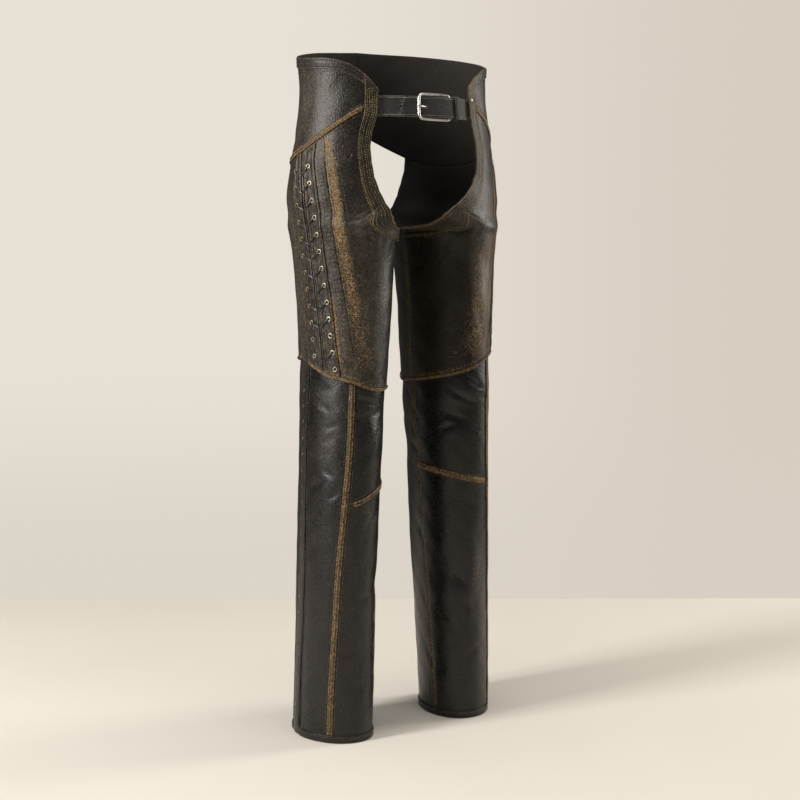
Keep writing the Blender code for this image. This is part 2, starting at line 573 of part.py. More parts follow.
def build_edges(name, side, s):
    """The bands, welts and bindings that lie on the panels' seams and edges."""
    gap = SEAM_GAP / 2
    trim(f"{name}_front_band", side, join(s["yoke_inside"][::-1], s["front_inside"]),
         join(s["yoke_edge"][::-1], s["front_opening"]), 1.4 * MM, LEATHER_DARK, inset=gap, across=1)
    waist = s["waist"][:-1]
    trim(f"{name}_waist_band", side, above(waist, -WAIST_BAND_WIDTH), waist, 1.4 * MM, LEATHER_DARK,
         edge=1.1 * MM, inset=gap)
    seam = join(s["yoke_back"], s["yoke_side"], s["yoke_front"][:-1])
    trim(f"{name}_yoke_welt", side, above(seam, -WELT_WIDTH / 2), above(seam, WELT_WIDTH / 2),
         WELT_HEIGHT, COPPER_RUB, edge=0.9 * MM, inset=gap)
    low = over_band(OUTSEAM, below_hem(side, OUTSEAM, s["outseam_low"]))
    trim(f"{name}_placket", side, beside(side, low, -PLACKET_WIDTH), beside(side, low, -2 * MM),
         1.5 * MM, LEATHER_BLACK, edge=1.2 * MM, tuck=True)
    high = [place for place in s["outseam_high"][1:] if place[1] < PLACKET_TOP]
    trim(f"{name}_placket_high", side, beside(side, high, -PLACKET_WIDTH), beside(side, high, -2 * MM),
         1.5 * MM, LEATHER_DARK, edge=1.2 * MM)
    half = WELT_WIDTH / 2
    for part, places in (("calf_welt", over_band(CALF_SEAM, s["calf_low"])),
                         ("knee_side_welt", below_hem(side, CALF_SEAM, s["calf_high"]))):
        trim(f"{name}_{part}", side, beside(side, places, -half), beside(side, places, half),
             WELT_HEIGHT, COPPER_RUB, edge=0.9 * MM, inset=gap, tuck=True)
    trim(f"{name}_knee_welt", side, above(s["knee"][1:], -half), above(s["knee"][1:], half),
         WELT_HEIGHT, COPPER_RUB, edge=0.9 * MM)
    hem = join(s["hem_side"], s["hem_front"], s["hem_back"][:-2])
    trim(f"{name}_thigh_binding", side, above(hem, 0.3 * MM), above(hem, 5 * MM), 1.3 * MM, COPPER_RUB, across=1)
    floor = join(s["floor_side"], s["floor_front"], s["floor_back"][:-2])
    trim(f"{name}_hem_band", side, above(floor, 0.3 * MM), above(floor, HEM_BAND_HEIGHT), 1.1 * MM, LEATHER_BLACK,
         across=1)


# ---------------------------------------------------------------- the side lacing
SLIT_HALF = 2.8 * MM
SPINE_HALF = 1.2 * MM
STRIP_RISE = 1.3 * MM
STRIP_MARGIN = 8 * MM  # of the front strip past its eyelets' centres
STRIP_BOTTOM = 0.16  # how far the strips end from the panel's ends, as a share of its first and last rows
STRIP_TOP = 0.18
SIDE_STRIP_WIDTH = 13.5 * MM
SIDE_STRIP_GAP = 1.5 * MM
LACE_THICKNESS = 1.4 * MM
LACE_LIFT = 3.7 * MM  # underside of the lace where it crosses the strips
SPINE_LIFT = 0.7 * MM
EYELET_SIDES = 6


def eyelet_heights(side, count, drop=0.0):
    """Heights of a column of eyelets, the top one first."""
    return [TOP_EYELET[side] - drop - EYELET_PITCH[side] * i for i in range(count)]


def shell_from(name, side, mesh, thickness, colour):
    """Close a sheet drawn in (angle, height, outer lift) into a wall on the skin."""
    copied = bmesh.ops.extrude_face_region(mesh, geom=mesh.faces[:], use_keep_orig=True)["geom"]
    for vertex in (item for item in copied if isinstance(item, bmesh.types.BMVert)):
        vertex.co.z -= thickness
    for vertex in mesh.verts:
        vertex.co = skin(side, *vertex.co)
    return finish(name, mesh, colour)


def build_lace(name, side):
    """The lace: arms that run from the eyelets down into the slit, joined inside it."""
    mesh = bmesh.new()
    half = LACE_WIDTH / 2
    outer, low = LACE_LIFT + LACE_THICKNESS, SPINE_LIFT + LACE_THICKNESS

    def pair(angle, height, lift):
        """The lower and upper corner of the lace where it is cut across."""
        return [mesh.verts.new((angle, height + dy, lift)) for dy in (-half, half)]

    row_above = None
    heights = eyelet_heights(side, FRONT_EYELETS)
    for row, arms in LACED_ROWS:
        apex = heights[row] - LACE_DROP
        middle = curve(LACE_SLIT, apex)
        root = degrees_for(SLIT_HALF * 0.75, side, middle, apex)
        spine = {sign: pair(middle + sign * degrees_for(SPINE_HALF, side, middle, apex), apex, low)
                 for sign in (-1, 1)}
        for sign in arms:
            line, drop = (FRONT_EYELET_LINE, 0.0) if sign > 0 else (REAR_EYELET_LINE, REAR_DROP)
            tip_height = heights[row] - drop
            rises = pair(middle + sign * root, apex + 1 * MM, outer)
            tips = pair(curve(line, tip_height), tip_height, outer)
            mesh.faces.new((spine[sign][0], rises[0], rises[1], spine[sign][1]))
            mesh.faces.new((rises[0], tips[0], tips[1], rises[1]))
        mesh.faces.new((spine[-1][0], spine[1][0], spine[1][1], spine[-1][1]))
        if row_above:
            mesh.faces.new((spine[-1][1], spine[1][1], row_above[1], row_above[0]))
        row_above = (spine[-1][0], spine[1][0])
    bmesh.ops.recalc_face_normals(mesh, faces=mesh.faces[:])
    shell_from(f"{name}_lace", side, mesh, LACE_THICKNESS, LEATHER_BLACK)


def meeting(side, row, line, distance=0.0):
    """Where a row of a panel's grid meets an upright line, or one a distance in front of it."""
    def past(place):
        return place[0] - curve(line, place[1]) - degrees_for(distance, side, *place)

    for one, other in zip(row, row[1:]):
        if past(one) <= 0 <= past(other):
            share = past(one) / (past(one) - past(other))
            return tuple(a + (b - a) * share for a, b in zip(one, other))
    return row[-1]


def strip_rows(grid, below, above_it):
    """A panel's rows, with the first and last brought in by a share of their gap to the next."""
    first = [tuple(a + (b - a) * below for a, b in zip(*pair)) for pair in zip(grid[0], grid[1])]
    last = [tuple(a + (b - a) * above_it for a, b in zip(*pair)) for pair in zip(grid[-1], grid[-2])]
    return [first] + grid[1:-1] + [last]


def on_facets(side, near, far, place, lift):
    """A point on the flat facets of a strip, at a place on the row that runs from near to far."""
    across = (place[0] - near[0]) / (far[0] - near[0])
    corners = [skin(side, *(a + (b - a) * share for a, b in zip(near, far)), lift) for share in (0, 0.5, 1)]
    half = int(across > 0.5)
    return corners[half].lerp(corners[half + 1], 2 * across - half)


def eyelet(mesh, foot, top):
    """Add one eyelet: a six-sided collar, dished in the middle, from its foot to its top."""
    place = (top - foot).to_track_quat("Z", "Y").to_matrix().to_4x4()
    rings = []
    for centre, radius in ((foot, EYELET_RADIUS), (top, EYELET_RADIUS), (top, EYELET_HOLE)):
        place.translation = centre
        rings.append(bmesh.ops.create_circle(mesh, segments=EYELET_SIDES, radius=radius, matrix=place)["verts"])
    base, shoulder, lip = rings
    dish = mesh.verts.new(foot.lerp(top, 0.55))
    mesh.faces.new(base)
    for i in range(EYELET_SIDES):
        mesh.faces.new((base[i - 1], base[i], shoulder[i], shoulder[i - 1]))
        mesh.faces.new((shoulder[i - 1], shoulder[i], lip[i], lip[i - 1]))
        mesh.faces.new((lip[i - 1], lip[i], dish))


def eyelet_mesh(name, side, edges, line, heights):
    """All the eyelets of one strip as one mesh, set on the strip's own facets."""
    mesh = bmesh.new()
    rows = [meeting(side, row, line) for row, _, _ in edges]
    for height in heights:
        i = next(i for i in range(len(rows) - 1) if height <= rows[i + 1][1])
        share = (height - rows[i][1]) / (rows[i + 1][1] - rows[i][1])
        ends = []
        for lift in (TRIM_LIFT + 0.35 * STRIP_RISE, TRIM_LIFT + STRIP_RISE + EYELET_RISE):
            low, high = (on_facets(side, edges[j][1], edges[j][2], rows[j], lift) for j in (i, i + 1))
            ends.append(low.lerp(high, share))
        eyelet(mesh, *ends)
    bmesh.ops.recalc_face_normals(mesh, faces=mesh.faces[:])
    data = bpy.data.meshes.new(name)
    mesh.to_mesh(data)
    mesh.free()
    return data


def build_lacing(name, side, s):
    """The two eyelet strips with their eyelets, the gathered side strip and the lace."""
    rows = strip_rows(s["lacing_base"], STRIP_BOTTOM, STRIP_TOP)
    fronts = eyelet_heights(side, FRONT_EYELETS)
    rears = eyelet_heights(side, REAR_EYELETS, REAR_DROP)
    for which, line, outer, near, far, heights in (
        ("front", FRONT_EYELET_LINE, FRONT_EYELET_LINE, SLIT_HALF, STRIP_MARGIN, fronts),
        ("rear", REAR_EYELET_LINE, OUTSEAM, -SLIT_HALF, 1 * MM, rears),
    ):
        edges = [(row, meeting(side, row, LACE_SLIT, near), meeting(side, row, outer, far)) for row in rows]
        strip = trim(f"{name}_eyelet_strip_{which}", side, [edge[1] for edge in edges],
                     [edge[2] for edge in edges], STRIP_RISE, LEATHER_DARK)
        join_to(strip, eyelet_mesh(f"{name}_{which}_eyelets", side, edges, line, heights))
    rear, front = ([meeting(side, row, SIDE_SEAM, -distance) for row in s["lacing_base"][1:-1]]
                   for distance in (SIDE_STRIP_WIDTH + SIDE_STRIP_GAP, SIDE_STRIP_GAP))
    trim(f"{name}_side_strip", side, rear, front, 1.6 * MM, LEATHER_DARK, edge=0.9 * MM)
    build_lace(name, side)


def tool_object(data):
    """Link a mesh as a cutter, which isn't a part."""
    tool = bpy.data.objects.new(data.name, data)
    bpy.data.collections["cutters"].objects.link(tool)
    tool.hide_render = True
    tool.display_type = "WIRE"
    return tool


def join_to(target, data, operation="UNION"):
    """Join a mesh to a sub-part, or cut it away, with an exact Boolean."""
    boolean = target.modifiers.new(operation.title(), "BOOLEAN")
    boolean.operation = operation
    boolean.solver = "EXACT"
    boolean.object = tool_object(data)


# ---------------------------------------------------------------- the belt
def strap(name, path, step, colour=BELT_GREY):
    """One strap along the waist, from a path of (angle, lift in millimetres)."""
    start, end = path[0][0], path[-1][0]
    count = round((end - start) / step)
    angles = [start + (end - start) * i / count for i in range(count + 1)]
    grid = [[(a, BELT_HEIGHT + dy, curve(path, a) * MM, BELT_THICKNESS) for a in angles]
            for dy in (-BELT_WIDTH / 2, BELT_WIDTH / 2)]
    return wall(name, BELT_SIDE, [grid], colour)


def cutter_along(name, angles, half_width, sides):
    """A prism that goes through the tongue at one angle, or from one angle to another."""
    mesh = bmesh.new()
    middle = sum(angles) / len(angles)
    centre = skin(BELT_SIDE, middle, BELT_HEIGHT, curve(TONGUE_PATH, middle) * MM - BELT_THICKNESS / 2)
    outward = skin(BELT_SIDE, middle, BELT_HEIGHT, 1.0) - skin(BELT_SIDE, middle, BELT_HEIGHT)
    place = outward.to_track_quat("Z", "Y").to_matrix().to_4x4()
    place.translation = centre
    made = bmesh.ops.create_cone(mesh, cap_ends=True, segments=sides, radius1=half_width, radius2=half_width,
                                 depth=4 * BELT_THICKNESS, matrix=place)["verts"]
    run = skin(BELT_SIDE, angles[-1], BELT_HEIGHT) - skin(BELT_SIDE, angles[0], BELT_HEIGHT)
    if len(angles) > 1:
        half_run = run.length / 2 - half_width
        for vertex in made:
            along = (vertex.co - centre).dot(run.normalized())
            vertex.co += run.normalized() * math.copysign(half_run, along)
    data = bpy.data.meshes.new(name)
    mesh.to_mesh(data)
    mesh.free()
    return data


def wire(name, places, radius, closed):
    """A round wire through places of (angle, height, lift) at the belt."""
    data = bpy.data.curves.new(name, "CURVE")
    data.dimensions = "3D"
    data.bevel_depth = radius
    data.bevel_resolution = 2
    data.use_fill_caps = True
    spline = data.splines.new("POLY")
    spline.points.add(len(places) - 1)
    for point, place in zip(spline.points, places):
        point.co = (*skin(BELT_SIDE, *place), 1)
    spline.use_cyclic_u = closed
    return add_object(name, data, NICKEL, 0.3, 1.0)


def build_buckle():
    """The buckle's frame, a rounded oblong wire, and its prong."""
    per_degree = 1 / degrees_for(1.0, BELT_SIDE, 89, BELT_HEIGHT)
    half_height = BUCKLE_HEIGHT / 2 - BUCKLE_WIRE
    half_run = (OUTER_BAR[0] - HEEL_BAR[0]) / 2
    middle = (OUTER_BAR[0] + HEEL_BAR[0]) / 2
    corner = BUCKLE_CORNER / per_degree
    places = []
    for quarter in range(4):
        sign_run = 1 if quarter in (0, 3) else -1
        sign_up = 1 if quarter < 2 else -1
        for step in range(4):
            turn = math.radians(90 * quarter + 30 * step)
            angle = middle + sign_run * (half_run - corner) + corner * math.cos(turn)
            rise = sign_up * (half_height - BUCKLE_CORNER) + BUCKLE_CORNER * math.sin(turn)
            share = (angle - HEEL_BAR[0]) / (OUTER_BAR[0] - HEEL_BAR[0])
            lift = HEEL_BAR[1] + (OUTER_BAR[1] - HEEL_BAR[1]) * share
            places.append((angle, BELT_HEIGHT + rise, lift * MM))
    wire("buckle_frame", places, BUCKLE_WIRE, closed=True)
    count = 9
    start, end = PRONG_PATH[0][0], PRONG_PATH[-1][0]
    angles = [start + (end - start) * i / count for i in range(count + 1)]
    wire("buckle_prong", [(a, BELT_HEIGHT, curve(PRONG_PATH, a) * MM) for a in angles], PRONG_WIRE, closed=False)


def build_keeper():
    """The leather loop that holds the tongue down beside the buckle."""
    inner_lift, outer_lift = (lift * MM for lift in KEEPER_LIFTS)
    half = BELT_WIDTH / 2 + KEEPER_ROOM
    mesh = bmesh.new()
    rings = []
    for angle in KEEPER_ANGLES:
        for wall_out in (0.0, KEEPER_WALL):
            corners = (
                (-half - wall_out, inner_lift - wall_out), (half + wall_out, inner_lift - wall_out),
                (half + wall_out, outer_lift + wall_out), (-half - wall_out, outer_lift + wall_out),
            )
            rings.append([mesh.verts.new(skin(BELT_SIDE, angle, BELT_HEIGHT + dy, lift)) for dy, lift in corners])
    inside, outside, inside_far, outside_far = rings
    for one, two in ((inside, outside), (outside, outside_far), (outside_far, inside_far), (inside_far, inside)):
        for i in range(4):
            mesh.faces.new((one[i], one[i - 1], two[i - 1], two[i]))
    finish("belt_keeper", mesh, BELT_GREY)


def build_belt():
    """The belt's tongue with its holes, the strap that holds the buckle, the buckle and the keeper."""
    tongue = strap("belt_tongue", TONGUE_PATH, 3.3)
    for index, angle in enumerate(HOLE_ANGLES):
        join_to(tongue, cutter_along(f"hole_{index}", (angle,), HOLE_RADIUS, 8), "DIFFERENCE")
    join_to(tongue, cutter_along("slot", SLOT_ANGLES, SLOT_WIDTH / 2, 8), "DIFFERENCE")
    strap("belt_buckle_strap", BUCKLE_STRAP_PATH, 4.0)
    build_buckle()
    build_keeper()


def main():
    """Clear the scene and build every sub-part."""
    for old in list(bpy.data.objects):
        bpy.data.objects.remove(old, do_unlink=True)
    for group in ("leather_chaps", "cutters"):
        bpy.context.scene.collection.children.link(bpy.data.collections.new(group))
    for name, side in SIDES.items():
        shared = seams(side)
        build_panels(name, side, shared)
        build_edges(name, side, shared)
        build_lacing(name, side, shared)
    build_belt()


main()
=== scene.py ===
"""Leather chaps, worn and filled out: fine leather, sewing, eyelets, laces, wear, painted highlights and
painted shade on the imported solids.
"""

import logging
import math
import random
from contextlib import contextmanager
from dataclasses import dataclass, field
from enum import Enum
from typing import Callable, Iterator, Sequence

import bmesh
import bpy
import numpy as np
from mathutils import Matrix, Vector, kdtree


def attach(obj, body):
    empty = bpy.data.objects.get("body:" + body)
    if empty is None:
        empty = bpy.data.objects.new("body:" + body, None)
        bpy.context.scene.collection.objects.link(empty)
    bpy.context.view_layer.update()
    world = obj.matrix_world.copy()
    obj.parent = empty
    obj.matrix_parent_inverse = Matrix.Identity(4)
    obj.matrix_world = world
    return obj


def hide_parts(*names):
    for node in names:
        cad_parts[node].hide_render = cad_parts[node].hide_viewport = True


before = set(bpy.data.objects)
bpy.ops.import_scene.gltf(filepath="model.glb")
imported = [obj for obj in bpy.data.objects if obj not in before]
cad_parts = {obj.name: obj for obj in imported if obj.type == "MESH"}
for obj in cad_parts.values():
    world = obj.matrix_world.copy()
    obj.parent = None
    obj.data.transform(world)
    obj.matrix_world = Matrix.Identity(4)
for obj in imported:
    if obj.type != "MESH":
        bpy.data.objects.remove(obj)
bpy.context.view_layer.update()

LOG = logging.getLogger("chaps")
MM = 0.001
BELT_HEIGHT = 1.013
THIGH_LOW, THIGH_LENGTH = 0.6, 0.33  # metres up the leg, where the lacing is
THIGH_DEGREE, FRONT_DEGREE = 1.55e-3, 1.6e-3  # metres round the thigh, and at the front opening, in a degree
KNEE_TOP, LOW_PULL, HIGH_PULL = 0.58, 1.5, 1.2  # how much harder the leather is drawn in below the knee's top
LEAST_CUT = 3 * MM  # shorter edges stay whole
FLAT_ANGLE = math.radians(12)  # faces that meet at less are one surface
DEEP = 0.45 * MM  # how deep a hollow is before its painted shade is at its darkest
BAND_ROWS = (2.6, 5.6, 8.6)  # the front band's sewing, in millimetres from its edge

Place = tuple[float, float]  # degrees round the leg, metres above the hem
Table = Sequence[Sequence[float]]
Colour = tuple[float, float, float]
Shape = tuple[np.ndarray, list]  # points and faces
Line = Callable[[np.ndarray], np.ndarray]
Profile = Callable[[np.ndarray, np.ndarray, np.ndarray], np.ndarray]

# ---------------------------------------------------------------- the skin that every leather piece lies on
# height, how far out and back the section's centre is, its half sizes, and how far it is turned.
SECTIONS: Table = (
    (0.00, 0.1220, 0.0000, 0.0560, 0.0740, 14.0),
    (0.10, 0.1185, 0.0000, 0.0567, 0.0763, 9.0),
    (0.20, 0.1150, 0.0010, 0.0576, 0.0785, 5.0),
    (0.30, 0.1115, 0.0010, 0.0588, 0.0810, 1.5),
    (0.40, 0.1080, 0.0000, 0.0600, 0.0833, -1.0),
    (0.50, 0.1037, -0.0010, 0.0616, 0.0863, -2.5),
    (0.60, 0.1000, -0.0020, 0.0648, 0.0905, -2.4),
    (0.70, 0.0978, -0.0020, 0.0692, 0.0957, -1.7),
    (0.77, 0.0971, 0.0000, 0.0740, 0.0985, -0.8),
    (0.815, 0.0962, 0.0015, 0.0785, 0.1080, -0.4),
    (0.83, 0.0937, 0.0020, 0.0832, 0.1120, -0.3),
    (0.85, 0.0563, 0.0028, 0.1243, 0.1170, -0.1),
    (0.87, 0.0366, 0.0030, 0.1472, 0.1205, 0.0),
    (0.90, 0.0131, 0.0020, 0.1698, 0.1222, 0.0),
    (0.93, 0.0050, 0.0000, 0.1736, 0.1220, 0.0),
    (0.99, 0.0000, -0.0010, 0.1693, 0.1162, 0.0),
    (1.04, 0.0000, 0.0000, 0.1636, 0.1139, 0.0),
    (1.12, 0.0000, 0.0030, 0.1668, 0.1131, 0.0),
)
# height, angle, half run, half height and depth of the largest soft folds.
FOLDS: Table = (
    (0.530, 110, 60, 0.022, 0.0026),
    (0.455, 250, 70, 0.026, 0.0040),
    (0.395, 265, 65, 0.024, 0.0032),
    (0.250, 140, 50, 0.024, 0.0024),
    (0.200, 250, 60, 0.028, 0.0028),
    (0.700, 255, 55, 0.026, 0.0030),
)
# Upright seams as (height, angle).
OUTSEAM: Table = ((0.00, -17), (0.10, -12), (0.19, -5), (0.30, 0), (0.49, 2), (0.60, 5), (0.66, 0),
                  (0.74, -4), (0.82, -2), (0.88, 0), (0.95, -3))
INSEAM: Table = ((0.00, 148), (0.10, 156), (0.20, 163), (0.30, 172), (0.40, 178), (0.50, 183), (0.60, 186),
                 (0.70, 182), (0.80, 180))
CALF_SEAM: Table = ((0.00, 33), (0.08, 37), (0.19, 45), (0.28, 51), (0.39, 60), (0.48, 65), (0.60, 65))
SIDE_SEAM: Table = ((0.57, 76), (0.60, 71), (0.64, 63.5), (0.70, 55.5), (0.755, 49), (0.81, 41.5), (0.87, 34),
                    (0.94, 24.5), (0.98, 22))
LACE_SLIT: Table = ((0.60, 29.5), (0.66, 24.7), (0.70, 21.0), (0.745, 18.0), (0.80, 13.9), (0.84, 12.3),
                    (0.885, 11), (0.915, 8), (0.95, 5))
FRONT_EYELET_LINE: Table = ((0.60, 44.2), (0.65, 37.9), (0.70, 33.8), (0.76, 28.6), (0.82, 23.4),
                            (0.87, 19.7), (0.93, 12))
REAR_EYELET_LINE: Table = ((0.61, 17), (0.66, 12.5), (0.70, 9.2), (0.75, 5.8), (0.81, 3), (0.865, 3.6),
                           (0.92, 0))
# Level seams as (angle, height).
YOKE_SEAM: Table = ((-90, 0.985), (-75, 0.965), (-60, 0.945), (-45, 0.933), (-30, 0.930), (-15, 0.935),
                    (-3, 0.9435), (7, 0.951), (24, 0.973), (40, 0.998), (52, 1.014), (63, 1.022))


class Side(Enum):
    """Which of the wearer's legs a piece is on; the value is the sign of its X."""

    RIGHT = -1
    LEFT = 1

    @property
    def label(self) -> str:
        """The word that starts a node's name."""
        return self.name.lower()


THIGH_HEM: dict[Side, Table] = {
    Side.RIGHT: ((-15, 0.618), (3, 0.6125), (20, 0.600), (31.5, 0.594), (43, 0.590), (56, 0.587), (69, 0.583),
                 (82, 0.576), (97, 0.571), (112, 0.5695), (140, 0.571), (180, 0.566), (225, 0.575),
                 (270, 0.600), (345, 0.618)),
    Side.LEFT: ((-15, 0.623), (20, 0.621), (45, 0.620), (62, 0.616), (78, 0.608), (102, 0.595), (119, 0.589),
                (134, 0.584), (162, 0.577), (183, 0.573), (212, 0.570), (250, 0.584), (295, 0.609),
                (345, 0.623)),
}
KNEE_SEAM: dict[Side, Table] = {
    Side.RIGHT: ((55, 0.390), (78, 0.3925), (97, 0.402), (126, 0.412), (180, 0.428)),
    Side.LEFT: ((55, 0.403), (80, 0.408), (106, 0.414), (136, 0.422), (180, 0.432)),
}
FRONT_OPENING: dict[Side, Table] = {
    Side.RIGHT: ((56.2, 1.000), (53.6, 0.970), (53.4, 0.945), (55.6, 0.920), (59.4, 0.896), (63.8, 0.882),
                 (69, 0.8686), (78.8, 0.8503), (93.5, 0.8381), (109, 0.8312), (125.6, 0.8262), (155, 0.8265)),
    Side.LEFT: ((62.9, 1.000), (60.2, 0.956), (60.9, 0.937), (63.4, 0.913), (66.3, 0.9005), (72.3, 0.8876),
                (81.6, 0.8732), (93.6, 0.8589), (102.5, 0.851), (115.4, 0.8432), (138.9, 0.8338),
                (155, 0.8302)),
}
LEG_HEM: Table = ((-20, 0.0), (340, 0.0))
CROTCH: Place = (180, 0.827)
CROSS_SEAM: Table = ((-90, 0.436), (270, 0.436))  # where the left calf's back was pieced
YOKE_FRONT_ANGLE, YOKE_FRONT_SWING, TOP_EDGE_SWING = 59.5, 3.2, 4.5
TOP_EDGE: dict[Side, Table] = {
    Side.RIGHT: ((-90, 1.118), (-60, 1.1115), (-40, 1.104), (-11, 1.0915), (10, 1.088), (31, 1.0845),
                 (44.5, 1.075), (51.3, 1.064), (57, 1.053), (59.5, 1.043), (61.5, 1.036)),
    Side.LEFT: ((-90, 1.118), (-59, 1.1165), (-43.5, 1.1135), (-28, 1.109), (-12.5, 1.103), (3, 1.096),
                (11, 1.0915), (19, 1.088), (31, 1.0845), (44.5, 1.075), (51.3, 1.064), (57, 1.053),
                (59.5, 1.043), (61.5, 1.036)),
}


def curve(table: Table, x: np.ndarray | float, column: int = 1) -> np.ndarray:
    """Read a table along a smooth curve through its rows.

    Args:
        table: rows whose first column is the place.
        x: the places to read at.
        column: which column to read.

    Returns:
        The values there; past the ends the last row's.
    """
    rows = np.asarray(table, float)
    places, values = rows[:, 0], rows[:, column]
    x = np.clip(np.asarray(x, float), places[0], places[-1])
    slopes = np.gradient(values, places)
    slopes[1:-1] = (values[2:] - values[:-2]) / (places[2:] - places[:-2])
    i = np.clip(np.searchsorted(places, x, side="left") - 1, 0, len(places) - 2)
    width = places[i + 1] - places[i]
    t = (x - places[i]) / width
    return ((1 + 2 * t) * (1 - t) ** 2 * values[i] + t * (1 - t) ** 2 * width * slopes[i]
            + t * t * (3 - 2 * t) * values[i + 1] + t * t * (t - 1) * width * slopes[i + 1])


def level(table: Table, angle: np.ndarray | float) -> np.ndarray:
    """The height of a level seam at an angle; one that goes all the way round repeats."""
    if table[-1][0] - table[0][0] == 360:
        angle = (np.asarray(angle, float) - table[0][0]) % 360 + table[0][0]
    return curve(table, angle)


def top_edge(side: Side, angle: np.ndarray | float) -> np.ndarray:
    """The height of the top edge at an angle."""
    return level(TOP_EDGE[side], angle - side.value * TOP_EDGE_SWING * (angle + 90) / (YOKE_FRONT_ANGLE + 90))


def signed_turn(angle: np.ndarray, middle: np.ndarray | float) -> np.ndarray:
    """Degrees from a middle angle, the short way round."""
    return (angle - middle + 180) % 360 - 180


def section(height: np.ndarray) -> tuple[np.ndarray, ...]:
    """How far out and back a section's centre is, its half sizes, and its turn in radians."""
    out, back, half_width, half_depth, turn = (curve(SECTIONS, height, column) for column in range(1, 6))
    return out, back, half_width, half_depth, np.radians(turn)


def unit(vectors: np.ndarray) -> np.ndarray:
    """Vectors at length 1."""
    return vectors / np.linalg.norm(vectors, axis=-1, keepdims=True)


@dataclass(frozen=True)
class Crease:
    """One soft trough in the leather, or a ridge when its depth is below zero; lengths in millimetres."""

    angle: float
    height: float
    slant: float  # degrees up from level, going forward
    length: float
    width: float
    depth: float
    bend: float = 0.0  # how far its ends curve up


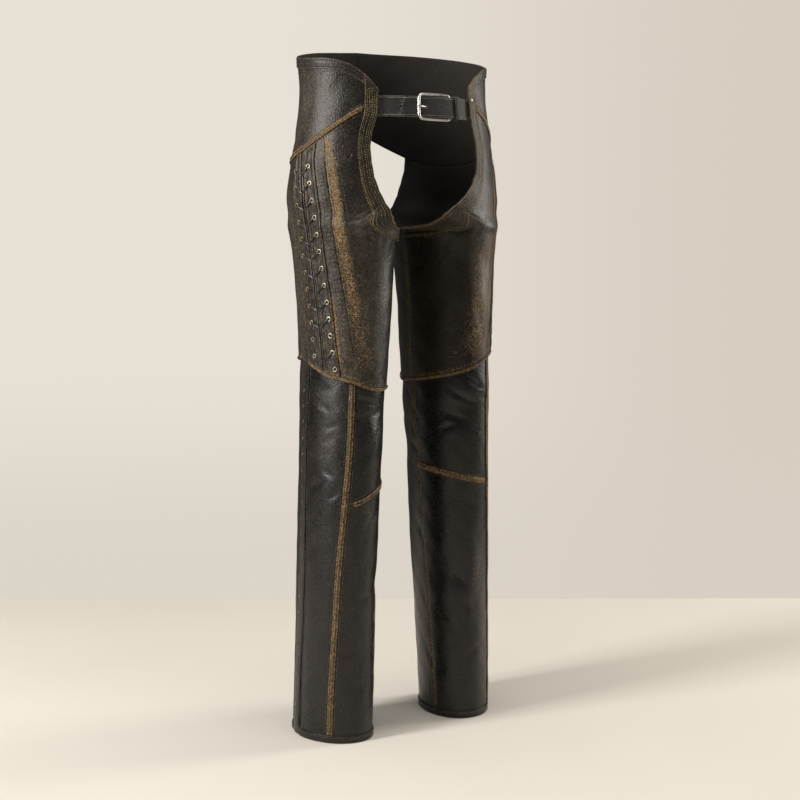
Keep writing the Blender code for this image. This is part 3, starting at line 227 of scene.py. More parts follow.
@dataclass(frozen=True)
class Skin:
    """The surface of one side's leather, by the angle round the leg and the height above the hem."""

    side: Side
    creases: tuple[Crease, ...] = ()

    def bare(self, angle: np.ndarray, height: np.ndarray) -> np.ndarray:
        """Points of the surface with its large folds and nothing finer.

        Args:
            angle: degrees round the leg.
            height: metres above the hem.

        Returns:
            An array of points.
        """
        out, back, half_width, half_depth, turn = section(height)
        draw = np.zeros_like(angle)
        for fold_height, middle, half_run, half_height, deepest in FOLDS:
            across = (height - fold_height) / half_height
            along = signed_turn(angle, middle) / half_run
            inside = (np.abs(across) < 3) & (np.abs(along) < 1)
            bell = deepest * np.exp(-across * across) * np.cos(0.5 * math.pi * along) ** 2
            draw += np.where(inside, bell, 0)
        shrink = 1 - draw / half_width
        across = half_width * shrink * np.cos(np.radians(angle))
        forward = half_depth * shrink * np.sin(np.radians(angle))
        x = out + across * np.cos(turn) - forward * np.sin(turn)
        y = back - forward * np.cos(turn) - across * np.sin(turn)
        return np.stack((self.side.value * x, y, height - BELT_HEIGHT), axis=-1)

    def steps(self, angle: np.ndarray, height: np.ndarray) -> tuple[np.ndarray, np.ndarray, np.ndarray]:
        """How the surface runs for a degree and for a metre up, and its outward normal.

        Args:
            angle: degrees round the leg.
            height: metres above the hem.

        Returns:
            The two runs and the normal, as arrays of vectors.
        """
        around = self.bare(angle + 0.5, height) - self.bare(angle - 0.5, height)
        upward = (self.bare(angle, height + 1 * MM) - self.bare(angle, height - 1 * MM)) / (2 * MM)
        return around, upward, unit(np.cross(around, upward) * -self.side.value)

    def relief(self, angle: np.ndarray, height: np.ndarray, scale: np.ndarray) -> np.ndarray:
        """How far the creases and the leather's own unevenness move the surface out.

        Args:
            angle: degrees round the leg.
            height: metres above the hem.
            scale: metres in a degree.

        Returns:
            Metres out, at each place.
        """
        rise = 0.25 * MM * (np.sin(height * 61 + angle * 0.07) * np.sin(angle * 0.11 + height * 9)
                            + 0.7 * np.sin(height * 137 - angle * 0.19 + 1.3))
        pulled = np.zeros_like(rise)
        for crease in self.creases:
            right = signed_turn(angle, crease.angle) * scale
            up = height - crease.height
            slant = math.radians(crease.slant)
            along = (right * math.cos(slant) + up * math.sin(slant)) / (crease.length * MM / 2)
            across = -right * math.sin(slant) + up * math.cos(slant) - crease.bend * MM * along * along
            fade = np.cos(0.5 * math.pi * np.clip(along, -1, 1)) ** 2
            pull = crease.depth * (LOW_PULL if crease.height < KNEE_TOP else HIGH_PULL)
            pulled = pulled + (pull * MM * np.exp(-(across / (crease.width * MM)) ** 2) * fade) ** 2
        return rise - np.sqrt(pulled)

    def place(self, angle: np.ndarray, height: np.ndarray, lift: np.ndarray | float,
              creased: bool = True) -> np.ndarray:
        """Points over the surface.

        Args:
            angle: degrees round the leg.
            height: metres above the hem.
            lift: metres out from the surface.
            creased: whether the creases move them too.

        Returns:
            An array of points.
        """
        angle, height = np.asarray(angle, float), np.asarray(height, float)
        around, _, normal = self.steps(angle, height)
        lift = lift + (self.relief(angle, height, np.linalg.norm(around, axis=-1)) if creased else 0.0)
        return self.bare(angle, height) + normal * np.asarray(lift)[..., None]

    def find(self, points: np.ndarray, start: float) -> tuple[np.ndarray, np.ndarray, np.ndarray]:
        """The angle, height and lift of points.

        Args:
            points: an array of points near the surface.
            start: the least angle to give, so that a piece isn't torn where the angles begin again.

        Returns:
            Three arrays.
        """
        height = points[:, 2] + BELT_HEIGHT
        out, back, half_width, half_depth, turn = section(height)
        dx, dy = points[:, 0] * self.side.value - out, back - points[:, 1]
        across, forward = dx * np.cos(turn) + dy * np.sin(turn), dy * np.cos(turn) - dx * np.sin(turn)
        angle = np.degrees(np.arctan2(forward / half_depth, across / half_width))
        for _ in range(12):  # steps of at most 5 degrees and 10 mm
            around, upward, normal = self.steps(angle, height)
            off = points - self.bare(angle, height)
            lift = np.einsum("ij,ij->i", off, normal)
            rest = off - normal * lift[:, None]
            aa, uu, au = (np.einsum("ij,ij->i", one, two) for one, two in
                          ((around, around), (upward, upward), (around, upward)))
            ra, ru = np.einsum("ij,ij->i", rest, around), np.einsum("ij,ij->i", rest, upward)
            size = aa * uu - au * au
            angle = angle + np.clip((ra * uu - ru * au) / size, -5, 5)
            height = height + np.clip((ru * aa - ra * au) / size, -0.01, 0.01)
        return (angle - start) % 360 + start, height, lift

    def metres_a_degree(self, angle: float, height: float) -> float:
        """How long a degree is at one place."""
        around, _, _ = self.steps(np.array([angle], float), np.array([height], float))
        return float(np.linalg.norm(around))

    def stand(self, angle: float, height: float, lift: float) -> tuple[np.ndarray, np.ndarray]:
        """A point some millimetres above one place, and the axes round, up and out of the surface there.

        Args:
            angle: degrees round the leg.
            height: metres above the hem.
            lift: millimetres.

        Returns:
            The point, and the axes as the rows of an array.
        """
        at, high = np.array([angle], float), np.array([height], float)
        around, _, normal = self.steps(at, high)
        first = unit(around[0])
        return self.place(at, high, lift * MM)[0], np.stack((first, np.cross(normal[0], first), normal[0]))

    def route_beside(self, route: Sequence[Place], distance: float) -> list[Place]:
        """A route moved to its left by a distance in metres, square to itself.

        Args:
            route: places in order.
            distance: metres; to its right below zero.

        Returns:
            The moved places.
        """
        moved = []
        for i, (angle, height) in enumerate(route):
            (a0, h0), (a1, h1) = route[max(i - 1, 0)], route[min(i + 1, len(route) - 1)]
            scale = self.metres_a_degree(angle, height)
            run, rise = (a1 - a0) * scale, h1 - h0
            size = math.hypot(run, rise) or 1.0
            moved.append((angle - rise / size * distance / scale, height + run / size * distance))
        return moved


# ---------------------------------------------------------------- wear, painted highlights and painted shade
@dataclass(frozen=True)
class Rub:
    """A band along a seam where the dark finish is rubbed off to copper; distances in millimetres."""

    line: Table
    upright: bool
    near: float  # the band's two sides, forward or up from the seam
    far: float
    soft: float
    low: float  # where it starts and ends along the seam, in metres or degrees
    high: float
    strength: float
    fade: float = 0.03  # of its ends

    def amount(self, skin: Skin, angle: np.ndarray, height: np.ndarray) -> np.ndarray:
        """How much copper shows at each place, from 0 to 1.

        Args:
            skin: what the piece lies on.
            angle: degrees round the leg.
            height: metres above the hem.

        Returns:
            A share for each place.
        """
        if self.upright:
            scale = np.linalg.norm(skin.steps(angle, height)[0], axis=-1)
            off, run = signed_turn(angle, curve(self.line, height)) * scale / MM, height
        else:
            off, run = (height - level(self.line, angle)) / MM, angle
        near, far = (np.clip(inward / self.soft + 0.5, 0, 1) for inward in (off - self.near, self.far - off))
        ends = np.clip((run - self.low) / self.fade, 0, 1) * np.clip((self.high - run) / self.fade, 0, 1)
        return self.strength * near * far * ends


@dataclass(frozen=True)
class Patch:
    """A soft round patch of painted highlight, partly scuffing, where the leather is painted lighter, or
    painted shade below zero.
    """

    angle: float
    height: float
    half_run: float  # degrees
    half_height: float  # metres
    amount: float

    def lightness(self, angle: np.ndarray, height: np.ndarray) -> np.ndarray:
        """How much painted highlight it puts on each place, or painted shade below zero."""
        across = signed_turn(angle, self.angle) / self.half_run
        up_it = (height - self.height) / self.half_height
        return self.amount * np.exp(-(across ** 2 + up_it ** 2))


def rubs(side: Side) -> tuple[Rub, ...]:
    """Every rubbed band of one side.

    Args:
        side: which leg.

    Returns:
        The bands.
    """
    bands = [
        (SIDE_SEAM, True, 1.0, 16.0, 10.0, 0.78, 0.992, 0.98),
        (SIDE_SEAM, True, 1.0, 22.0, 14.0, 0.64, 0.88, 0.62, 0.06),
        (SIDE_SEAM, True, 0.0, 34.0, 18.0, 0.56, 0.74, 0.34, 0.06),
        (SIDE_SEAM, True, 0.0, 30.0, 26.0, 0.60, 0.96, 0.22, 0.05),
        (YOKE_SEAM, False, -9.0, 9.0, 6.0, -92, 60, 0.40, 4.0),
        (FRONT_EYELET_LINE, True, 5.0, 13.0, 4.0, 0.60, 0.74, 0.66),
        (LACE_SLIT, True, 3.0, 9.0, 3.0, 0.60, 0.93, 0.42),
        (CALF_SEAM, True, -5.5, 5.5, 4.0, 0.00, 0.61, 0.34, 0.02),
        (KNEE_SEAM[side], False, -5.5, 5.5, 4.0, 55, 182, 0.30, 6.0),
        (INSEAM, True, -8.0, 8.0, 7.0, 0.00, 0.82, 0.40, 0.02),
        (THIGH_HEM[side], False, -2.0, 14.0, 8.0, -20, 340, 0.34, 4.0),
    ]
    if side is Side.LEFT:
        bands += [
            (SIDE_SEAM, True, -2.0, 60.0, 30.0, 0.585, 0.86, 0.44, 0.06),
            (SIDE_SEAM, True, 20.0, 80.0, 34.0, 0.575, 0.76, 0.26, 0.06),
            (CROSS_SEAM, False, -3.0, 3.0, 3.0, 183, 224, 0.5, 6.0),
        ]
    return tuple(Rub(*band) for band in bands)


# Rows are patches of painted highlight, partly scuffs, and of painted shade where the amount is below zero:
# angle, height, half run, half height, amount.
PATCHES: dict[Side, Table] = {
    Side.RIGHT: (
        (19, 1.03, 15, 0.055, 0.42), (15, 0.97, 13, 0.04, 0.22), (-60, 1.03, 30, 0.05, 0.3),
        (-4, 1.03, 9, 0.05, 0.40), (46, 1.045, 14, 0.045, -0.6), (-10, 0.97, 8, 0.03, 0.25),
        (84, 0.70, 24, 0.13, 0.44), (66, 0.84, 12, 0.03, 0.34), (33, 0.49, 12, 0.035, 0.38),
        (-14, 0.84, 12, 0.07, 0.45), (-12, 0.70, 12, 0.09, 0.50), (-8, 0.35, 7, 0.26, 0.30),
        (30, 0.56, 14, 0.018, 0.35), (95, 0.36, 16, 0.05, 0.20), (85, 0.22, 18, 0.10, 0.18),
        (-75, 0.72, 30, 0.08, 0.30), (-110, 0.40, 30, 0.07, 0.25), (-60, 0.20, 25, 0.08, 0.2),
    ),
    Side.LEFT: (
        (52, 1.03, 14, 0.06, 0.65), (58, 0.88, 14, 0.07, 0.50), (92, 0.74, 12, 0.12, 0.55),
        (76, 0.76, 14, 0.10, 0.40), (-14, 0.84, 12, 0.07, 0.40), (-12, 0.70, 12, 0.09, 0.45),
        (85, 0.66, 12, 0.05, 0.45), (19, 1.03, 20, 0.05, 0.3), (78, 0.25, 10, 0.06, 0.45),
        (72, 0.50, 12, 0.06, 0.30), (192, 0.50, 20, 0.10, 0.40), (180, 0.25, 16, 0.10, 0.45),
        (66, 0.16, 9, 0.09, 0.65), (84, 0.27, 9, 0.05, 0.45), (92, 0.20, 7, 0.04, 0.35),
        (130, 0.30, 25, 0.30, -0.6), (130, 0.70, 25, 0.12, -0.6), (-80, 0.70, 30, 0.08, 0.3),
    ),
}

# Rows are creases: angle, height, slant, length, width, depth, bend.
CREASES: dict[Side, Table] = {
    Side.RIGHT: (
        # drawn to the crotch across the front of the thigh
        (66, 0.856, 68, 46, 3.2, 1.3), (60, 0.852, 40, 44, 3.4, 1.0), (60, 0.838, 8, 46, 3.2, 0.9),
        (70, 0.832, -35, 40, 3.4, 1.1), (80, 0.812, -62, 62, 4.5, 1.2), (96, 0.806, -80, 60, 5, 1.0),
        (64, 0.815, -72, 60, 5.5, 0.9), (118, 0.80, 75, 55, 5, 0.9),
        # long soft draws down the thigh
        (84, 0.72, 84, 150, 14, 0.4), (104, 0.66, -84, 130, 10, 0.8), (74, 0.66, 78, 120, 12, 0.5),
        (92, 0.605, 12, 60, 6, 0.8, 4), (70, 0.61, -12, 48, 5, 0.7, 3),
        # yoke
        (40, 0.985, 32, 60, 7, 0.7), (6, 1.02, 84, 80, 8, 0.8), (30, 1.045, 60, 60, 8, 0.6),
        (-40, 1.00, 70, 80, 9, 0.8), (-72, 1.02, -76, 80, 9, 0.8), (-20, 0.965, 15, 70, 8, 0.7),
        # knee and calf, outer side
        (34, 0.492, 42, 46, 4.5, 1.2, 2), (30, 0.470, 30, 40, 4, 1.0), (40, 0.515, 22, 44, 5, 0.9, -2),
        (28, 0.545, -24, 44, 4.5, 0.9), (36, 0.440, -28, 46, 5, 0.8), (20, 0.42, 26, 50, 5, 0.8),
        (24, 0.572, 10, 60, 5, 1.0, -3), (44, 0.405, 36, 40, 5, 0.7), (26, 0.36, -18, 44, 6, 0.6),
        (92, 0.553, -14, 70, 5, 1.2, 4), (112, 0.535, 16, 60, 5, 1.0), (84, 0.530, 10, 44, 5, 0.8),
        (104, 0.375, -52, 36, 4, 0.9), (118, 0.37, 30, 44, 5, 0.8), (96, 0.355, 60, 38, 4, 0.7),
        (100, 0.24, 20, 60, 7, 0.8), (120, 0.20, -20, 60, 7, 0.8), (60, 0.15, 12, 50, 7, 0.6),
        (84, 0.09, -16, 60, 7, 0.8), (20, 0.08, 10, 50, 6, 0.6), (110, 0.06, 14, 60, 6, 0.7),
        # behind the knee and down the back
        (-95, 0.475, 8, 110, 6, 1.8, 5), (-110, 0.44, -10, 100, 6, 1.6, -4), (-85, 0.41, 14, 90, 6, 1.4, 3),
        (-120, 0.50, -16, 80, 6, 1.3), (-70, 0.52, 18, 60, 6, 1.0), (-100, 0.36, 8, 90, 7, 1.1, -3),
        (-60, 0.73, 62, 90, 8, 1.0), (-110, 0.76, -58, 90, 8, 1.1), (-85, 0.80, 20, 70, 7, 0.9),
        (-130, 0.66, -70, 90, 8, 0.9), (-90, 0.64, 12, 80, 7, 0.8), (-90, 0.22, 14, 80, 8, 1.0),
        (-110, 0.14, -12, 90, 8, 1.0), (-70, 0.08, 8, 70, 7, 0.8),
    ),
    Side.LEFT: (
        (100, 0.832, -48, 50, 3.6, 1.1), (112, 0.822, -28, 46, 3.6, 0.9), (92, 0.826, -66, 56, 4.5, 1.0),
        (84, 0.846, 52, 40, 4, 0.8), (130, 0.80, -82, 60, 5, 0.9), (74, 0.74, 80, 150, 7, 1.0),
        (88, 0.68, 74, 110, 7, 0.9), (108, 0.70, -86, 140, 9, 0.8), (66, 0.66, 84, 100, 7, 0.8),
        (98, 0.63, 22, 60, 6, 0.8), (60, 0.80, 70, 90, 8, 0.8), (47, 1.02, 66, 80, 7, 0.9),
        (40, 0.985, 32, 60, 7, 0.7), (6, 1.02, 84, 80, 8, 0.8), (-40, 1.00, 70, 80, 9, 0.8),
        (-68, 1.03, -76, 80, 9, 0.8),
        # knee, front
        (92, 0.571, 30, 70, 5, 1.3, 4), (110, 0.548, 24, 90, 5, 1.3, 4), (84, 0.55, 14, 50, 5, 0.9),
        (120, 0.515, 18, 80, 6, 1.1, 4), (96, 0.50, 32, 60, 6, 1.0), (134, 0.50, -20, 60, 6, 0.9),
        (182, 0.52, 50, 60, 4, 1.4), (190, 0.495, 62, 50, 4, 1.3), (176, 0.54, -60, 50, 4, 1.2),
        (186, 0.46, 40, 50, 5, 1.1), (196, 0.55, 35, 60, 5, 1.1), (96, 0.37, 40, 60, 6, 0.9),
        (84, 0.30, 54, 80, 7, 1.1), (110, 0.24, 48, 70, 7, 1.0), (92, 0.19, 40, 70, 7, 1.0),
        (130, 0.16, 30, 60, 7, 0.9), (80, 0.12, -30, 60, 7, 0.9), (178, 0.32, 70, 60, 5, 1.0),
        (170, 0.20, 74, 70, 5, 1.0), (160, 0.10, 60, 60, 5, 0.9), (203, 0.436, 0, 64, 1.3, 0.55),
        (30, 0.49, 38, 46, 5, 1.1, 2), (26, 0.46, 28, 44, 5, 1.0), (36, 0.53, 20, 44, 5, 0.9),
        (24, 0.40, -24, 50, 6, 0.8), (20, 0.30, 20, 50, 6, 0.7), (-95, 0.470, 8, 110, 6, 1.8, 5),
        (-108, 0.435, -12, 100, 6, 1.6, -4), (-80, 0.405, 12, 90, 6, 1.4, 3), (-120, 0.505, -14, 80, 6, 1.3),
        (-66, 0.525, 20, 60, 6, 1.0), (-100, 0.355, 10, 90, 7, 1.1, -3), (-60, 0.74, 60, 90, 8, 1.0),
        (-112, 0.75, -60, 90, 8, 1.1), (-86, 0.81, 18, 70, 7, 0.9), (-130, 0.65, -72, 90, 8, 0.9),
        (-88, 0.63, 10, 80, 7, 0.8), (-92, 0.21, 12, 80, 8, 1.0), (-108, 0.13, -14, 90, 8, 1.0),
        (-72, 0.07, 10, 70, 7, 0.8),
    ),
}


# ---------------------------------------------------------------- finishes
class Value:
    """A number that varies over a surface. Sums written with it add their Math nodes."""

    def __init__(self, graph: "Graph", socket: bpy.types.NodeSocket) -> None:
        """Wrap a socket of a graph."""
        self.graph, self.socket = graph, socket

    def _maths(self, operation: str, one: "Value | float", two: "Value | float") -> "Value":
        """One Math node on two values."""
        return self.graph.value("ShaderNodeMath", {"operation": operation}, {0: one, 1: two})

    def __add__(self, other: "Value | float") -> "Value":
        """self + other"""
        return self._maths("ADD", self, other)

    def __sub__(self, other: "Value | float") -> "Value":
        """self - other"""
        return self._maths("SUBTRACT", self, other)

    def __mul__(self, other: "Value | float") -> "Value":
        """self * other"""
        return self._maths("MULTIPLY", self, other)

    def __radd__(self, other: float) -> "Value":
        """other + self"""
        return self._maths("ADD", other, self)

    def __rsub__(self, other: float) -> "Value":
        """other - self"""
        return self._maths("SUBTRACT", other, self)

    def __rmul__(self, other: float) -> "Value":
        """other * self"""
        return self._maths("MULTIPLY", other, self)

    def held(self) -> "Value":
        """The value kept between 0 and 1."""
        return self.graph.value("ShaderNodeClamp", {}, {"Value": self})

    def step(self, start: float, end: float) -> "Value":
        """A smooth step, 0 at start and 1 at end."""
        return self.graph.value("ShaderNodeMapRange", {"interpolation_type": "SMOOTHSTEP"},
                                {"Value": self, "From Min": start, "From Max": end})


class Graph:
    """The node tree of one material."""

    def __init__(self, name: str) -> None:
        """Start a material whose surface is one Principled BSDF."""
        self.material = bpy.data.materials.new(name)
        self.material.use_nodes = True
        self.tree = self.material.node_tree
        self.shader = self.tree.nodes["Principled BSDF"]

    def node(self, kind: str, settings: dict, inputs: dict) -> bpy.types.Node:
        """Add one node.

        Args:
            kind: the node's type.
            settings: its own options, set first.
            inputs: values or links for its sockets, by name or number.

        Returns:
            The node.
        """
        made = self.tree.nodes.new(kind)
        for name, value in settings.items():
            setattr(made, name, value)
        for name, value in inputs.items():
            self.put(made.inputs[name], value)
        return made

    def put(self, socket: bpy.types.NodeSocket, value: Value | bpy.types.NodeSocket | float | Colour) -> None:
        """Link one socket, or set its own value.

        Args:
            socket: one of a node's inputs.
            value: what it gets.
        """
        value = value.socket if isinstance(value, Value) else value
        if isinstance(value, bpy.types.NodeSocket):
            self.tree.links.new(value, socket)
        else:
            socket.default_value = (*value, 1.0) if socket.type == "RGBA" else value

    def value(self, kind: str, settings: dict, inputs: dict, output: int | str = 0) -> Value:
        """Add one node and wrap one of its outputs."""
        return Value(self, self.node(kind, settings, inputs).outputs[output])

    def place(self) -> bpy.types.NodeSocket:
        """Object coordinates, in metres."""
        return self.node("ShaderNodeTexCoord", {}, {}).outputs["Object"]

    def pattern(self) -> bpy.types.NodeSocket:
        """The piece's own flat pattern, in metres."""
        return self.node("ShaderNodeUVMap", {"uv_map": "pattern"}, {}).outputs["UV"]

    def noise(self, vector: bpy.types.NodeSocket, scale: float, detail: float = 2.0,
              rough: float = 0.5) -> Value:
        """Even noise around a half."""
        return self.value("ShaderNodeTexNoise", {}, {"Vector": vector, "Scale": scale, "Detail": detail,
                                                     "Roughness": rough})

    def cells(self, vector: bpy.types.NodeSocket, scale: float, feature: str = "F1") -> Value:
        """Distance inside small cells, as in a hide's grain."""
        inputs = {"Vector": vector, "Scale": scale}
        return self.value("ShaderNodeTexVoronoi", {"feature": feature}, inputs, "Distance")

    def stretched(self, vector: bpy.types.NodeSocket,
                  scale: tuple[float, float, float]) -> bpy.types.NodeSocket:
        """Coordinates scaled unevenly, which draws a pattern out."""
        return self.node("ShaderNodeMapping", {}, {"Vector": vector, "Scale": scale}).outputs[0]

    def painted(self, name: str) -> Value:
        """A value that the mesh carries."""
        return self.value("ShaderNodeAttribute", {"attribute_name": name}, {}, "Fac")

    def blend(self, amount: Value, one: Colour | bpy.types.NodeSocket,
              two: Colour | bpy.types.NodeSocket) -> bpy.types.NodeSocket:
        """Mix two colours."""
        inputs = {"Factor": amount, 6: one, 7: two}
        return self.node("ShaderNodeMix", {"data_type": "RGBA"}, inputs).outputs[2]

    def bump(self, height: Value, distance: float, strength: float) -> None:
        """Feed a height to the shader's normal."""
        made = self.node("ShaderNodeBump", {}, {"Height": height, "Distance": distance, "Strength": strength})
        self.tree.links.new(made.outputs[0], self.shader.inputs["Normal"])

    def feed(self, **inputs: "Value | bpy.types.NodeSocket | float | Colour") -> None:
        """Set or link the shader's sockets, named with underscores for spaces."""
        for name, value in inputs.items():
            self.put(self.shader.inputs[name.replace("_", " ")], value)


@dataclass(frozen=True)
class WaxedLeather:
    """Dark waxed cowhide whose finish rubs off to copper at seams and edges, with painted highlights and
    painted shade in its grooves.
    """

    name: str
    dark: Colour
    brown: Colour
    # grey is the colour of scuffs and of the painted highlights
    grey: Colour
    copper: Colour = (0.052, 0.027, 0.010)
    gold: Colour = (0.34, 0.208, 0.080)
    edge: Colour = (0.20, 0.158, 0.100)
    edge_rub: float = 0.5  # how much the piece's own rim is rubbed
    all_rub: float = 0.0  # how much all of it is rubbed
    roughness: float = 0.38
    grain: float = 0.62
    gloss: float = 0.34
    drawn: float = 0.0  # how much it is drawn into fine upright wrinkles
    flesh: Colour = (0.017, 0.0135, 0.0105)  # its rough inner side

    def material(self) -> bpy.types.Material:
        """Build the node tree."""
        graph = Graph(self.name)
        place = graph.place()
        mottle = graph.noise(place, 15, 4, 0.6)
        cloud = graph.noise(place, 70, 4, 0.6)
        fleck = graph.noise(place, 310, 3, 0.7)
        speck = graph.noise(place, 720, 2, 0.65)
        pebbles = graph.cells(place, 360, "SMOOTH_F1")
        wrinkle = graph.noise(graph.stretched(graph.pattern(), (270.0, 105.0, 1.0)), 1.0, 4, 0.65)
        scuff_and_painted_light, rub, rim = graph.painted("scuff_and_painted_light"), graph.painted("rub"), graph.painted("rim")
        hollow, inside = graph.painted("hollow"), graph.painted("inside")
        base = graph.blend((mottle.step(0.25, 0.75) * 0.45 + fleck.step(0.30, 0.70) * 0.35
                            + speck.step(0.42, 0.60) * 0.20).held(), self.dark, self.brown)
        # painted highlight, partly scuffing: the patches turn the leather towards grey
        lit = (scuff_and_painted_light * (0.25 + 1.3 * cloud) * (0.35 + fleck.step(0.35, 0.65))).held()
        base = graph.blend(lit, base, self.grey)
        if self.drawn:
            drawn = wrinkle.step(0.44, 0.76) * self.drawn * (0.2 + fleck.step(0.36, 0.62) * 0.9)
            base = graph.blend(drawn.held(), base, self.grey)
        spots = fleck.step(0.60, 0.70) * cloud.step(0.42, 0.62) * 0.30
        base = graph.blend(spots.held(), base, self.edge)
        line = (1 - rim.step(0.15 * MM, 1.9 * MM)) * self.edge_rub
        base = graph.blend((line * fleck.step(0.34, 0.56)).held(), base, self.edge)
        wear = ((rub + self.all_rub) * (1 - hollow * 0.9)).held()
        gate = wear.step(0.03, 0.35)
        amount = wear * (0.74 + 0.5 * cloud) + ((fleck - 0.5) * 1.4 + (speck - 0.5) * 3.0) * gate
        copper = amount.step(0.32, 0.98)
        glint = fleck.step(0.42, 0.62) * 0.5 + speck.step(0.46, 0.58) * 0.5
        rubbed = graph.blend(glint.held(), self.copper, self.gold)
        base = graph.blend((copper * 0.94).held(), base, rubbed)
        # painted shade in grooves and hollows, darker the deeper they are
        base = graph.blend((hollow * 0.8).held(), base, (0.004, 0.0035, 0.003))
        base = graph.blend(inside.held(), base, self.flesh)
        graph.feed(
            Base_Color=base,
            Roughness=(self.roughness + (mottle - 0.5) * 0.25 + (fleck - 0.5) * 0.55 + scuff_and_painted_light.held() * 0.10
                       + copper * 0.25 + hollow * 0.3 + inside * 0.5).held(),
            Specular_IOR_Level=self.gloss,
        )
        height = pebbles * 0.8 + cloud * 1.1 + fleck * 1.5 + speck * 0.4
        if self.drawn:
            height = height + wrinkle * (3.2 * self.drawn)
        graph.bump(height, 0.42 * MM, self.grain)
        return graph.material


@dataclass(frozen=True)
class Thread:
    """Heavy waxed sewing thread."""

    name: str
    light: Colour
    dark: Colour

    def material(self) -> bpy.types.Material:
        """Build the node tree."""
        graph = Graph(self.name)
        place = graph.place()
        worn = graph.noise(place, 110, 3, 0.7)
        twist = graph.noise(place, 1900, 1)
        graph.feed(Base_Color=graph.blend(worn.step(0.40, 0.62), self.dark, self.light),
                   Roughness=(0.55 + 0.3 * twist).held(), Specular_IOR_Level=0.3)
        graph.bump(twist, 0.15 * MM, 0.4)
        return graph.material


@dataclass(frozen=True)
class Plate:
    """Nickel plate with fine scratches and dull tarnished patches."""

    name: str
    bright: Colour = (0.68, 0.66, 0.62)
    dull: Colour = (0.30, 0.27, 0.23)
    roughness: float = 0.2
    metallic: float = 1.0

    def material(self) -> bpy.types.Material:
        """Build the node tree."""
        graph = Graph(self.name)
        place = graph.place()
        tarnish = graph.noise(place, 140, 4, 0.6)
        scratch = graph.noise(graph.stretched(place, (1.0, 1.0, 14.0)), 500, 2)
        graph.feed(Base_Color=graph.blend(tarnish.step(0.45, 0.75), self.bright, self.dull),
                   Metallic=self.metallic,
                   Roughness=(self.roughness + 0.22 * tarnish + 0.12 * (scratch - 0.5)).held())
        graph.bump(scratch * 0.5 + tarnish, 0.12 * MM, 0.25)
        return graph.material


@dataclass(frozen=True)
class Plain:
    """A shadowed or pale surface with a little unevenness."""

    name: str
    colour: Colour
    shade: Colour
    roughness: float = 0.85
    scale: float = 30.0

    def material(self) -> bpy.types.Material:
        """Build the node tree."""
        graph = Graph(self.name)
        uneven = graph.noise(graph.place(), self.scale, 3)
        graph.feed(Base_Color=graph.blend(uneven.step(0.3, 0.7), self.colour, self.shade),
                   Roughness=(self.roughness + 0.1 * (uneven - 0.5)).held(), Specular_IOR_Level=0.25)
        return graph.material


@dataclass(frozen=True)
class Glow:
    """A glowing backdrop, painted with shade towards the right and down at the floor."""

    name: str
    colour: Colour
    far: Colour  # painted shade where it turns away from the light, on the right
    low: Colour  # painted shade down at the floor

    def material(self) -> bpy.types.Material:
        """Build the node tree."""
        graph = Graph(self.name)
        right = graph.value("ShaderNodeVectorMath", {"operation": "DOT_PRODUCT"},
                            {0: graph.place(), 1: (0.838, -0.546, 0.0)}, "Value")
        level_up = graph.value("ShaderNodeVectorMath", {"operation": "DOT_PRODUCT"},
                               {0: graph.place(), 1: (0.0, 0.0, 1.0)}, "Value")
        # painted shade: darker towards the right and down at the floor
        across = graph.blend(right.step(-1.5, 4.0), self.colour, self.far)
        down = (1 - level_up.step(-3.7, -1.6)) * 0.7
        graph.feed(Base_Color=(0.0, 0.0, 0.0), Specular_IOR_Level=0.0, Emission_Strength=1.0,
                   Emission_Color=graph.blend(down.held(), across, self.low))
        return graph.material


